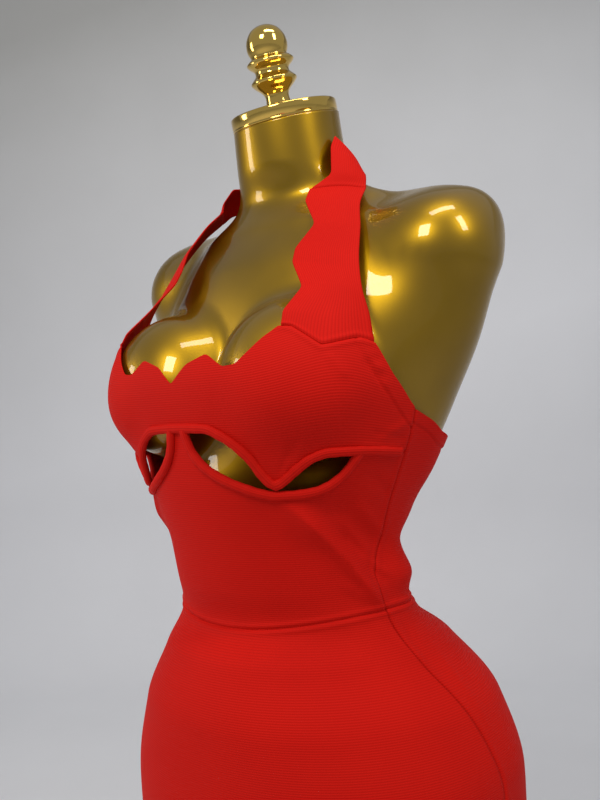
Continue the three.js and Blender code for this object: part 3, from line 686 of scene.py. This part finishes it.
@dataclass(frozen=True)
class MattWall:
    """Pale matt emulsion of the studio's sweep, with painted shade that darkens it upwards and to
    the left.
    """

    name: str = "pale_matt_emulsion"
    # The low colour is the wall where it is well lit; the high one is painted shade.
    low: str = "#E9E9EB"
    high: str = "#9D9C99"

    def make(self) -> bpy.types.Material:
        """Builds the material."""
        material, tree, shader = new_material(self.name, {"Roughness": 0.9})
        position = add_node(tree, "ShaderNodeTexCoord")
        # Painted shade: it darkens upwards, and more so on the left of the picture, where less
        # light falls.
        place = add_node(tree, "ShaderNodeVectorMath", {
            "operation": "DOT_PRODUCT", 1: (-0.22, -0.19, 1.0),
        }, {0: position.outputs["Object"]})
        rise = add_node(tree, "ShaderNodeMapRange", {"From Min": 0.9, "From Max": 2.6},
                        {"Value": place.outputs["Value"]})
        # Painted shade, with uneven patches of the emulsion's own tone added.
        painted_shade_and_patches = add_node(tree, "ShaderNodeMath", {"operation": "MULTIPLY_ADD", 1: 0.12},
                          {0: noise(tree, 3.0, 4.0), 2: rise.outputs[0]})
        tree.links.new(mix_colours(tree, self.low, self.high, painted_shade_and_patches.outputs[0]),
                       shader.inputs["Base Color"])
        return material


class Finish(Enum):
    """The object's finishes."""

    KNIT = "rib_knit"
    BINDING = "binding_knit"
    LACQUER = "gold_lacquer"
    PLATE = "gold_plate"


class Paints:
    """Makes each finish once and puts it on pieces."""

    def __init__(self) -> None:
        """Builds the materials."""
        self.materials = {
            Finish.KNIT: RibKnit().make(),
            Finish.BINDING: RibKnit(name="padded_binding_knit", face="#DC1B0D", rib_mm=1.5).make(),
            Finish.LACQUER: Lacquer().make(),
            Finish.PLATE: GoldPlate().make(),
        }

    def dress(self, obj: bpy.types.Object, finish: Finish, *nodes: str) -> None:
        """Gives a piece its finish and its body, and hides the solids that it stands for."""
        obj.data.materials.clear()
        obj.data.materials.append(self.materials[finish])
        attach(obj, "root")
        if nodes:
            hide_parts(*nodes)
        log.info("%s: %d faces", obj.name, len(obj.data.polygons))


def lay_sheet(paints: Paints, name: str, node: str, face: Array, uv: Array) -> None:
    """Makes a piece of cloth from its outer face.

    Args:
        paints: The finishes.
        name: The piece's name.
        node: The solid that it stands for.
        face: Grid of points.
        uv: Grid of texture places.
    """
    obj = mesh_from_grid(name, face, uv)
    thicken(obj)
    paints.dress(obj, Finish.KNIT, node)


# The dress


@dataclass
class EdgeFrame:
    """Points along an edge of the cloth, with directions along it and into the cloth."""

    point: Array
    normal: Array
    along: Array
    into: Array


def edge_frames(rows: Rows, side: int, step: float = BINDING_STEP) -> EdgeFrame:
    """Even steps along an edge.

    Args:
        rows: Angle and height of the edge.
        side: 1 where the cloth lies above the edge, -1 where it lies below.
        step: Distance between points.

    Returns:
        The frames.
    """
    height = read_rows(rows)
    angle = np.linspace(rows[0][0], rows[-1][0], 900)
    x, y = angle * MM_PER_DEGREE, height(angle)
    length = np.concatenate([[0], np.cumsum(np.hypot(np.diff(x), np.diff(y)))])
    even = np.linspace(0, length[-1], max(8, round(length[-1] / step)))
    cloth = cloth_at(np.interp(even, length, x) / MM_PER_DEGREE, np.interp(even, length, y))
    along = np.gradient(cloth.point, axis=0)
    along /= np.linalg.norm(along, axis=-1, keepdims=True)
    into = np.cross(along, cloth.normal)
    into *= -side / np.linalg.norm(into, axis=-1, keepdims=True)
    return EdgeFrame(cloth.point, cloth.normal, along, into)


def mirror_rows(rows: Rows) -> list[tuple[float, float]]:
    """The same edge on the other side of the centre front."""
    return [(-angle, height) for angle, height in reversed([tuple(row) for row in rows])]


def beside(frames: EdgeFrame) -> Callable[[Array], Array]:
    """Height where a panel's raw edge lies inside a binding, read by angle."""
    place = frames.point + frames.into * (BINDING_WIDTH - TUCK)
    angle = np.degrees(np.arctan2(place[:, 0], -place[:, 1]))
    kept = [0]
    for i in range(1, len(angle)):
        if angle[i] > angle[kept[-1]] + 0.02:
            kept.append(i)
    xs, ys = angle[kept], place[kept, 2]
    low = (ys[1] - ys[0]) / (xs[1] - xs[0])
    high = (ys[-1] - ys[-2]) / (xs[-1] - xs[-2])

    def read(at: Array) -> Array:
        inside = np.interp(at, xs, ys)
        inside = np.where(at < xs[0], ys[0] + (at - xs[0]) * low, inside)
        return np.where(at > xs[-1], ys[-1] + (at - xs[-1]) * high, inside)

    return read


@dataclass
class Bindings:
    """The padded bindings round the cut-outs under the bust.

    The ends sewn into a side seam are pressed flat over a length and sink in.
    """

    width: float = BINDING_WIDTH
    thickness: float = BINDING_THICKNESS
    ribs: int = 14
    sides: int = 42
    press: float = 9.0
    sink: float = 2.2
    flatten: float = 0.78
    into_seam: dict = field(default_factory=lambda: {"bust_binding_left": 1,
                                                     "bust_binding_right": -1})
    edges: dict = field(default_factory=dict)

    def __post_init__(self) -> None:
        """Finds the frames of every bound edge."""
        arch = [row for row in BUST_HEM if row[0] <= CUP_POINT]
        flank = [row for row in BUST_HEM if row[0] >= CUP_POINT]
        end = float(SEAM_ANGLE(HEM_LINE(80.0))) - 0.1
        flank = flank[:-1] + [(end, float(HEM_LINE(end)))]
        tucked = [(4.6, 164.0)] + MIDRIFF_TOP + [(59.9, 144.5)]
        self.edges = {
            "bust_binding_centre": edge_frames(mirror_rows(arch) + arch[1:], 1),
            "bust_binding_left": edge_frames(flank, 1),
            "bust_binding_right": edge_frames(mirror_rows(flank), 1),
            "midriff_binding_left": edge_frames(tucked, -1),
            "midriff_binding_right": edge_frames(mirror_rows(tucked), -1),
        }

    def build(self, paints: Paints) -> None:
        """Makes each binding as a padded roll with lengthwise ribs."""
        for name, edge in self.edges.items():
            obj = self.roll(name, edge)
            paints.dress(obj, Finish.BINDING, name)

    def roll(self, name: str, edge: EdgeFrame) -> bpy.types.Object:
        """One binding, swept along its edge."""
        count = len(edge.point)
        travel = np.arange(count) * BINDING_STEP
        turn = np.linspace(0, 2 * np.pi, self.sides + 1)
        centre = edge.point + edge.normal * (CLOTH / 2 + 1.5) + edge.into * (self.width / 2)
        pucker = 1 + 0.05 * np.sin(travel / 5.3 + 0.7) * np.sin(travel / 2.1)
        ribbed = 1 + 0.045 * np.cos(self.ribs * turn)
        flat = np.sign(np.cos(turn)) * np.abs(np.cos(turn)) ** 0.85
        wide = (self.width / 2) * ribbed * flat
        thick = (self.thickness / 2) * ribbed * np.sin(turn)
        pressed = np.zeros(count)
        if name in self.into_seam:
            pressed = smooth_step(travel, travel[-1] - self.press, travel[-1])
            pressed = pressed if self.into_seam[name] > 0 else pressed[::-1]
        centre -= edge.normal * (self.sink * pressed)[:, None]
        plump = pucker * (1 - self.flatten * pressed)
        points = (centre[:, None, :] + edge.into[:, None, :] * (wide * pucker[:, None])[..., None]
                  + edge.normal[:, None, :] * (thick * plump[:, None])[..., None])
        handed = np.einsum("ij,ij->i", np.cross(edge.into, edge.normal), edge.along).mean()
        if handed < 0:
            points, turn = points[:, ::-1], turn[::-1]
        uv = grid_uv(travel[:, None], np.abs(turn)[None, :] * 3.0)
        return mesh_from_grid(name + "_roll", points, uv, ring=True, caps=True)


@dataclass
class Bodice:
    """Bust, midriff and back panels."""

    bindings: Bindings
    column_step: float = 0.75

    def beside_bust(self, angle: Array) -> Array:
        """Lower edge of the bust panel."""
        edges = self.bindings.edges
        arch, flank = beside(edges["bust_binding_centre"]), beside(edges["bust_binding_left"])
        away = np.abs(angle)
        return np.maximum(arch(away), flank(away))

    def beside_midriff(self, angle: Array) -> Array:
        """Upper edge of the midriff panel."""
        away = np.abs(angle)
        leaf = beside(self.bindings.edges["midriff_binding_left"])
        return np.minimum(leaf(away), HEM_LINE(away) + 2.0)

    def front(self, columns: Array, lower: Callable[[Array], Array],
              upper: Callable[[Array], Array], shares: Array) -> tuple[Array, Array]:
        """Angles and heights of a front piece's cells, drawn in to follow the side seams."""
        end = columns[-1]
        column, share = np.meshgrid(columns, shares)
        pull = np.sign(column) * np.maximum(0, (np.abs(column) / end - 0.6) / 0.4)
        angle = column.copy()
        for _ in range(5):
            low, high = lower(angle), upper(angle)
            height = low + (high - low) * share
            angle = column + pull * (SEAM_ANGLE(height) + SEAM_LAP - end)
        return angle, height

    def build(self, paints: Paints) -> None:
        """Makes the three panels."""
        self.bust(paints)
        self.midriff(paints)
        self.back(paints)

    def bust(self, paints: Paints) -> None:
        """The bridged bust panel with its scalloped neckline and turned armholes."""
        columns = fine_columns(BUST_KEYS, self.column_step)
        angle, height = self.front(columns, self.beside_bust, BUST_LINE, crowded(74))
        cloth = cloth_at(angle, height, BUST_FOLDS)
        away = np.abs(angle)
        radius = arc_scale(cloth.point)
        armhole = np.array([(a * EDGE_SCALE, h) for a, h in BUST_TOP if a >= STRAP_SEAM[-1]])
        seam = np.array([(a * EDGE_SCALE, h) for a, h in BUST_TOP
                         if STRAP_SEAM[0] <= a <= STRAP_SEAM[-1]])
        hem = distance_to_line(away * EDGE_SCALE, height, armhole)
        rise = hem_rise(hem, 13, 0.7)
        rise += seam_rise(distance_to_line(away * EDGE_SCALE, height, seam))
        rise += seam_rise((SEAM_ANGLE(height) - away) * radius, 0.5, 0.5)
        gather = np.exp(-(((away - 66) / 3) ** 2)) * np.exp(-(((hem - 8) / 6) ** 2))
        rise += 0.5 * gather * np.sin(height / 1.9)
        points = cloth.point + cloth.normal * (CLOTH + rise)[..., None]
        lift = 15 * np.exp(-(((away - 53) / 17) ** 2)) * np.clip((height - 125) / 90, 0, 1)
        uv = grid_uv(away * radius * np.sign(angle), height - lift)
        lay_sheet(paints, "bust_cloth", "bust_panel", points, uv)

    def midriff(self, paints: Paints) -> None:
        """The midriff panel with its centre point and diagonal drag lines."""
        columns = fine_columns(MIDRIFF_KEYS, self.column_step)
        angle, height = self.front(columns, waist_height, self.beside_midriff, crowded(110))
        cloth = cloth_at(angle, height, RIDGES, ROLLS)
        radius = arc_scale(cloth.point)
        rise = seam_rise(height - waist_height(angle), 0.9, 0.8)
        rise += seam_rise((SEAM_ANGLE(height) - np.abs(angle)) * radius, 0.8, 0.5)
        points = cloth.point + cloth.normal * (CLOTH + rise)[..., None]
        uv = grid_uv(angle * radius, height)
        lay_sheet(paints, "midriff_cloth", "midriff_panel", points, uv)

    def back(self, paints: Paints) -> None:
        """The low back panel with its slack rolls."""
        share = np.linspace(-1, 1, 221)
        across, up = np.meshgrid(share, crowded(100))
        angle = 180 - 90 * np.abs(across)
        for _ in range(5):
            low, high = waist_height(angle), BACK_LINE(angle)
            height = low + (high - low) * up
            angle = 180 - np.abs(across) * (180 - SEAM_ANGLE(height) + SEAM_LAP)
        signed = 180 + across * (180 - SEAM_ANGLE(height) + SEAM_LAP)
        cloth = cloth_at(signed, height)
        fold = roll_rise(ROLLS + FINE_ROLLS, angle, height) + line_rise(RIDGES, angle, height)
        fold += 1.2 * np.exp(-(((across + 0.3) / 0.2) ** 2)) * np.exp(-(((height - 28) / 12) ** 2))
        radius = arc_scale(cloth.point)
        rise = seam_rise(height - waist_height(angle), 0.9, 0.8)
        rise += seam_rise((angle - SEAM_ANGLE(height)) * radius, 0.5, 0.5)
        rise += hem_rise(BACK_LINE(angle) - height, 11, 0.6)
        points = (cloth.point + level_normal(cloth.normal) * fold[..., None]
                  + cloth.normal * (CLOTH + rise)[..., None])
        uv = grid_uv((signed - 180) * radius, height)
        lay_sheet(paints, "back_cloth", "back_panel", points, uv)


@dataclass
class Skirt:
    """Front and back of the pencil skirt."""

    rows: int = 150
    columns: int = 141

    def build(self, paints: Paints) -> None:
        """Makes the two panels."""
        share = crowded(self.rows, low=False)
        across, up = np.meshgrid(np.linspace(-1, 1, self.columns), share)
        for name, node, back in (("skirt_front_cloth", "skirt_front", False),
                                 ("skirt_back_cloth", "skirt_back", True)):
            height = np.zeros(up.shape)
            angle = 90 * np.abs(across)
            for _ in range(5):
                high = waist_height(angle)
                height = HEM_HEIGHT + (high - HEM_HEIGHT) * up
                seam = SEAM_ANGLE(height)
                angle = 180 - np.abs(across) * (180 - seam + SEAM_LAP) if back else (
                    np.abs(across) * (seam + SEAM_LAP))
            signed = 180 + across * (180 - seam + SEAM_LAP) if back else angle * np.sign(across)
            self.panel(paints, name, node, signed, height, angle)

    def panel(self, paints: Paints, name: str, node: str, signed: Array, height: Array,
              angle: Array) -> None:
        """One skirt panel, with its seams and turned hem."""
        cloth = cloth_at(signed, height)
        wrapped = np.where(signed > 180, signed - 360, signed)
        radius = arc_scale(cloth.point)
        rise = line_rise(SKIRT_FOLDS, wrapped, height)
        rise += seam_rise(waist_height(angle) - height, 0.9, 0.8)
        rise += seam_rise(np.abs(SEAM_ANGLE(height) - angle) * radius, 0.7, 0.6)
        rise += hem_rise(height - HEM_HEIGHT, 21, 0.5, 1.6)
        points = cloth.point + cloth.normal * (CLOTH + rise)[..., None]
        uv = grid_uv(wrapped * radius, height)
        lay_sheet(paints, name, node, points, uv)


def soft_path(points: Array, count: int, softness: float = 0.14) -> Array:
    """Straight runs through points with rounded corners, at even steps of point number."""
    place = np.linspace(0, len(points) - 1, count)
    offsets = np.linspace(-softness, softness, 9)
    total = np.zeros((count, 3))
    for offset in offsets:
        at = np.clip(place + offset, 0, len(points) - 1)
        total += np.stack([np.interp(at, np.arange(len(points)), points[:, k])
                           for k in range(3)], -1)
    path = total / len(offsets)
    path[0], path[-1] = points[0], points[-1]
    return path


def smooth_path(points: Array, count: int) -> Array:
    """A smooth curve through points, at even steps of point number."""
    place = np.linspace(0, len(points) - 1, count)
    padded = np.vstack([2 * points[0] - points[1], points, 2 * points[-1] - points[-2]])
    i = np.clip(place.astype(int), 0, len(points) - 2)
    t = (place - i)[:, None]
    a, b, c, d = padded[i], padded[i + 1], padded[i + 2], padded[i + 3]
    return 0.5 * (2 * b + (c - a) * t + (2 * a - 5 * b + 4 * c - d) * t**2
                  + (3 * b - a - 3 * c + d) * t**3)


def ribbon(near: Array, far: Array, across: int) -> Array:
    """Points between two edges, bowed outwards and kept clear of the form."""
    share = np.linspace(0, 1, across)[None, :, None]
    points = near[:, None, :] * (1 - share) + far[:, None, :] * share
    points = points + outwards(form_gap, points) * (4 * RIBBON_BOW * share * (1 - share))
    gap = form_gap(points)
    push = np.maximum(0, CLEARANCE - gap)
    return points + outwards(form_gap, points) * push[..., None]


@dataclass
class Halter:
    """The two straps and the neckband that joins them behind the neck.

    The far side of the band has slipped down by the far drops.
    """

    rows: int = 190
    across: int = 34
    band_columns: int = 230
    far_drops: tuple[float, float, float] = (14.0, 25.0, 20.0)

    def strap_points(self) -> Array:
        """The wearer's left strap, from its seam on the bust panel upwards."""
        seam_angle = np.interp(np.linspace(0, 6, self.across), range(7), STRAP_SEAM)
        seam = cloth_at(seam_angle, BUST_LINE(seam_angle) - 0.8)
        inner = np.vstack([seam.point[:1], np.array(STRAP_INNER, float)])
        outer = np.vstack([seam.point[-1:], np.array(STRAP_OUTER, float)])
        points = ribbon(soft_path(inner, self.rows), smooth_path(outer, self.rows), self.across)
        place = np.linspace(0, 1, self.rows)
        blend = 1 - smooth_step(place, 0, 4 / 14)
        return points + (seam.point - points[0])[None] * blend[:, None, None]

    def build(self, paints: Paints) -> None:
        """Makes the straps and the neckband."""
        left = self.strap_points()
        normal = grid_normals(left)
        length = np.linspace(0, STRAP_LENGTH, self.rows)
        width = np.linspace(0, STRAP_WIDTH, self.across)
        edge = np.minimum(width, STRAP_WIDTH - width)[None, :]
        rise = 0.5 * (1 - smooth_step(edge, 2, 4)) + seam_rise(length[:, None], 0.7, 0.6)
        face = left + normal * (CLOTH + rise)[..., None]
        uv = grid_uv(length[:, None], width[None, :])
        right = (face * np.array([-1.0, 1, 1]))[:, ::-1]
        for name, node, points in (("strap_left_cloth", "strap_left", face),
                                   ("strap_right_cloth", "strap_right", right)):
            lay_sheet(paints, name, node, points, uv)
        self.band(paints, left[-1])

    def band(self, paints: Paints, seam: Array) -> None:
        """The neckband, from the left strap's seam round the nape to the right one."""
        count = self.band_columns // 2
        halves = []
        for drops in (np.zeros(3), np.array(self.far_drops)):
            top, low = np.array(BAND_TOP, float), np.array(BAND_BOTTOM, float)
            top[2:5, 0] += 0.2 * drops
            top[2:5, 2] -= drops
            low[1:4, 2] -= 0.4 * drops
            half = ribbon(smooth_path(low, count), soft_path(top, count), self.across)
            blend = 1 - smooth_step(np.linspace(0, 1, count), 0, 0.1)
            half = half + (seam[::-1] - half[0])[None] * blend[:, None, None]
            halves.append(np.swapaxes(half, 0, 1))
        far = halves[1][:, -2::-1] * np.array([-1.0, 1, 1])
        points = np.concatenate([halves[0], far], axis=1)
        normal = grid_normals(points)
        along = np.linspace(0, BAND_LENGTH, points.shape[1])
        ends = np.minimum(along, BAND_LENGTH - along)[None, :]
        width = np.linspace(0, BAND_WIDTH, self.across)
        rise = seam_rise(ends, 0.5, 0.25)
        face = points + normal * (CLOTH + rise)[..., None]
        uv = grid_uv(along[None, :], width[:, None])
        lay_sheet(paints, "neckband_cloth", "neckband", face, uv)


# The form and its stand


def form_ring(height: float, climb: float, lean: float, sides: int) -> Array:
    """One ring of the form's surface, looked for from the torso's axis."""
    turn = np.linspace(0, 2 * np.pi, sides + 1)
    forwards = np.array([0, -math.cos(math.radians(lean)), -math.sin(math.radians(lean))])
    upwards = np.array([0, -math.sin(math.radians(lean)), math.cos(math.radians(lean))])
    level = np.sin(turn)[:, None] * np.array([1.0, 0, 0]) + np.cos(turn)[:, None] * forwards
    direction = level * math.cos(math.radians(climb)) + upwards * math.sin(math.radians(climb))
    origin = np.broadcast_to(np.array([0.0, 0.0, height]), direction.shape)
    return cast(form_gap, origin, direction)


def turned(name: str, outline: Rows, segments: int = 72) -> bpy.types.Object:
    """A turned piece, spun from an outline of radius and height in millimetres."""
    bm = bmesh.new()
    verts = [bm.verts.new((radius * MM, 0, height * MM)) for radius, height in outline]
    edges = [bm.edges.new(pair) for pair in zip(verts[:-1], verts[1:])]
    bmesh.ops.spin(bm, geom=verts + edges, cent=(0, 0, 0), axis=(0, 0, 1), dvec=(0, 0, 0),
                   angle=2 * math.pi, steps=segments, use_merge=True, use_duplicate=False)
    bmesh.ops.remove_doubles(bm, verts=bm.verts, dist=1e-6)
    bmesh.ops.recalc_face_normals(bm, faces=bm.faces)
    return link_mesh(name, bm)


def rounded_outline(outline: Rows, count: int) -> list[tuple[float, float]]:
    """A smooth outline through turned corners, which keeps its ends on the axis."""
    points = np.array([(r, 0.0, h) for r, h in outline], float)
    path = smooth_path(points, count)
    path[0], path[-1] = points[0], points[-1]
    return [(max(0.0, float(p[0])), float(p[2])) for p in path]


def set_in_place(obj: bpy.types.Object, matrix: Matrix) -> None:
    """Moves a piece's mesh, so that its object stays at the origin."""
    obj.data.transform(matrix)
    obj.data.update()


@dataclass
class DressForm:
    """The limbless form with its neck cap and finial."""

    sides: int = 180
    rows: int = 210
    cap_radius: float = 50
    cap_height: float = 13
    finial_forward: float = 4

    def build(self, paints: Paints) -> None:
        """Makes the shell, the cap and the finial."""
        place = np.linspace(0, len(FORM_RINGS) - 1, self.rows)
        numbers = range(len(FORM_RINGS))
        reads = [profile(numbers, [row[k] for row in FORM_RINGS]) for k in range(3)]
        rings = np.stack([form_ring(*(float(r(at)) for r in reads), self.sides) for at in place])
        uv = grid_uv(np.linspace(0, 900, self.sides + 1)[None, :], rings[..., 2])
        shell = mesh_from_grid("form_shell", rings, uv, ring=True, caps=True)
        paints.dress(shell, Finish.LACQUER, "dress_form")
        centre = (rings[-1][:-1].mean(axis=0) + TORSO) * MM
        lean = Matrix.Rotation(math.radians(NECK_LEAN), 4, "X")
        seat = Matrix.Translation(Vector(centre)) @ lean
        r, h = self.cap_radius, self.cap_height
        cap = turned("cap_disc", [
            (0, 0.1), (r - 0.6, 0.1), (r, 0.6), (r, 1.7), (r - 0.5, 2.0), (r - 0.5, 2.5), (r, 2.8),
            (r, h - 2.2), (r - 0.4, h - 1.0), (r - 1.4, h - 0.2), (r - 3.0, h), (18, h),
            (16.5, h + 0.05), (0, h + 0.05)], 128)
        set_in_place(cap, seat)
        paints.dress(cap, Finish.PLATE, "neck_cap")
        outline = rounded_outline([(x, y + h) for x, y in FINIAL_OUTLINE], 110)
        knob = turned("finial_knob", outline, 72)
        set_in_place(knob, seat @ Matrix.Translation((0, -self.finial_forward * MM, 0)))
        paints.dress(knob, Finish.PLATE, "finial")


@dataclass
class Stand:
    """The pole and the round base."""

    pole_radius: float = 16
    base_radius: float = 165
    base_thickness: float = 16
    top: float = 175

    def build(self, paints: Paints) -> None:
        """Makes the pole with its collar, and the base."""
        r, t, top = self.pole_radius, self.base_thickness, self.top
        pole = turned("pole_tube", [
            (0, t + 0.1), (r, t + 0.1), (r, top - 1), (0, top - 1)], 64)
        paints.dress(pole, Finish.PLATE, "stand_pole")
        b = self.base_radius
        base = turned("base_disc", [
            (0, 0), (b - 1, 0), (b, 1), (b, t - 6), (b - 0.8, t - 3), (b - 3, t - 0.8), (b - 6, t),
            (30, t), (0, t)], 144)
        paints.dress(base, Finish.PLATE, "stand_base")


# The studio


@dataclass
class Studio:
    """Sweep, lights and camera."""

    target: tuple[float, float, float] = (0.0073, -0.030, 0.8066)
    azimuth: float = 40.48
    elevation: float = -1.51
    roll: float = 1.84
    distance: float = 0.7749
    lens: float = 37.75

    def build(self) -> None:
        """Makes all of the studio."""
        self.sweep()
        self.lights()
        self.camera()

    def axes(self, azimuth: float, elevation: float) -> tuple[Vector, Vector, Vector]:
        """Right, up and back directions of a view."""
        a, e = math.radians(azimuth), math.radians(elevation)
        back = Vector((math.sin(a) * math.cos(e), -math.cos(a) * math.cos(e), math.sin(e)))
        right = Vector((math.cos(a), math.sin(a), 0))
        return right, back.cross(right), back

    def camera(self) -> None:
        """The camera at the photograph's viewing angle."""
        right, up, back = self.axes(self.azimuth, self.elevation)
        r = math.radians(self.roll)
        tilted_right = math.cos(r) * right - math.sin(r) * up
        tilted_up = math.sin(r) * right + math.cos(r) * up
        data = bpy.data.cameras.new("camera")
        data.sensor_fit = "VERTICAL"
        data.sensor_height = 36
        data.lens = self.lens
        data.clip_start = 0.02
        camera = bpy.data.objects.new("camera", data)
        matrix = Matrix((tilted_right, tilted_up, back)).transposed().to_4x4()
        matrix.translation = Vector(self.target) + back * self.distance
        camera.matrix_world = matrix
        bpy.context.scene.collection.objects.link(camera)
        bpy.context.scene.camera = camera

    def sweep(self) -> None:
        """A pale floor that curves up into a wall."""
        bm = bmesh.new()
        right, _, back = self.axes(self.azimuth, 0)
        steps = 14
        bmesh.ops.create_grid(bm, x_segments=1, y_segments=steps + 2, size=1)
        radius, behind, ahead, wide, tall = 0.5, 2.2, 6.0, 7.0, 3.6  # metres
        rows = [(ahead, 0.0)]
        for k in range(steps + 1):
            turn = 0.5 * math.pi * k / steps
            rows.append((radius * (1 - math.sin(turn)) - behind, radius * (1 - math.cos(turn))))
        rows.append((-behind, tall))
        for vert in bm.verts:
            i = round((vert.co.y + 1) / 2 * (steps + 2))
            side = wide * (1 if vert.co.x > 0 else -1)
            place = right * side + back * rows[i][0] + Vector((0, 0, rows[i][1] - 0.0005))
            vert.co = place
        sweep = link_mesh("studio_sweep", bm)
        sweep.data.materials.append(MattWall().make())

    def wash(self) -> None:
        """A wide lamp over the form that lights only the wall behind it."""
        right, _, back = self.axes(self.azimuth, 0)
        aim = (back + Vector((0, 0, 0.45))).normalized()
        lamp = self.lamp("wash", (3.2, 0.4), 13.0, (right, aim.cross(right), aim),
                         Vector((0, 0, 2.3)) - back - right * 0.1)
        lamp.color = (1.0, 1.0, 1.0)

    def lamp(self, name: str, size: tuple[float, float], watts: float,
             axes: tuple[Vector, Vector, Vector], place: Vector) -> bpy.types.AreaLight:
        """A rectangular lamp that shines away from the third of its axes."""
        data = bpy.data.lights.new(name, "AREA")
        data.shape = "RECTANGLE"
        data.size, data.size_y = size
        data.energy = watts
        data.color = (1.0, 0.97, 0.93)
        lamp = bpy.data.objects.new(name, data)
        matrix = Matrix(axes).transposed().to_4x4()
        matrix.translation = place
        lamp.matrix_world = matrix
        bpy.context.scene.collection.objects.link(lamp)
        return data

    def lights(self) -> None:
        """Soft boxes and a dim even surround."""
        # name, azimuth, elevation, distance, width, height, watts
        boxes = [
            ("key", 14, 38, 1.5, 0.36, 0.50, 8.6),
            ("left", -52, 8, 1.5, 0.30, 0.9, 5.6),
            ("right", 84, 40, 1.4, 0.22, 0.55, 4.8),
            ("over", 62, 70, 1.3, 0.7, 0.18, 4.2),
        ]
        bust_height = Vector((0, -0.03, 0.85))
        self.wash()
        for name, azimuth, elevation, distance, width, height, watts in boxes:
            axes = self.axes(azimuth, elevation)
            self.lamp(name, (width, height), watts, axes, bust_height + axes[2] * distance)
        world = bpy.data.worlds.new("surround")
        world.use_nodes = True
        background = world.node_tree.nodes["Background"]
        background.inputs["Color"].default_value = linear("#DFE2E8")
        background.inputs["Strength"].default_value = 0.46
        bpy.context.scene.world = world
        bpy.context.scene.view_settings.view_transform = "Standard"


def main() -> None:
    """Builds the studio and every piece in order."""
    Studio().build()
    paints = Paints()
    DressForm().build(paints)
    Stand().build(paints)
    bindings = Bindings()
    bindings.build(paints)
    Bodice(bindings).build(paints)
    Skirt().build(paints)
    Halter().build(paints)


if __name__ == "__main__":
    main()
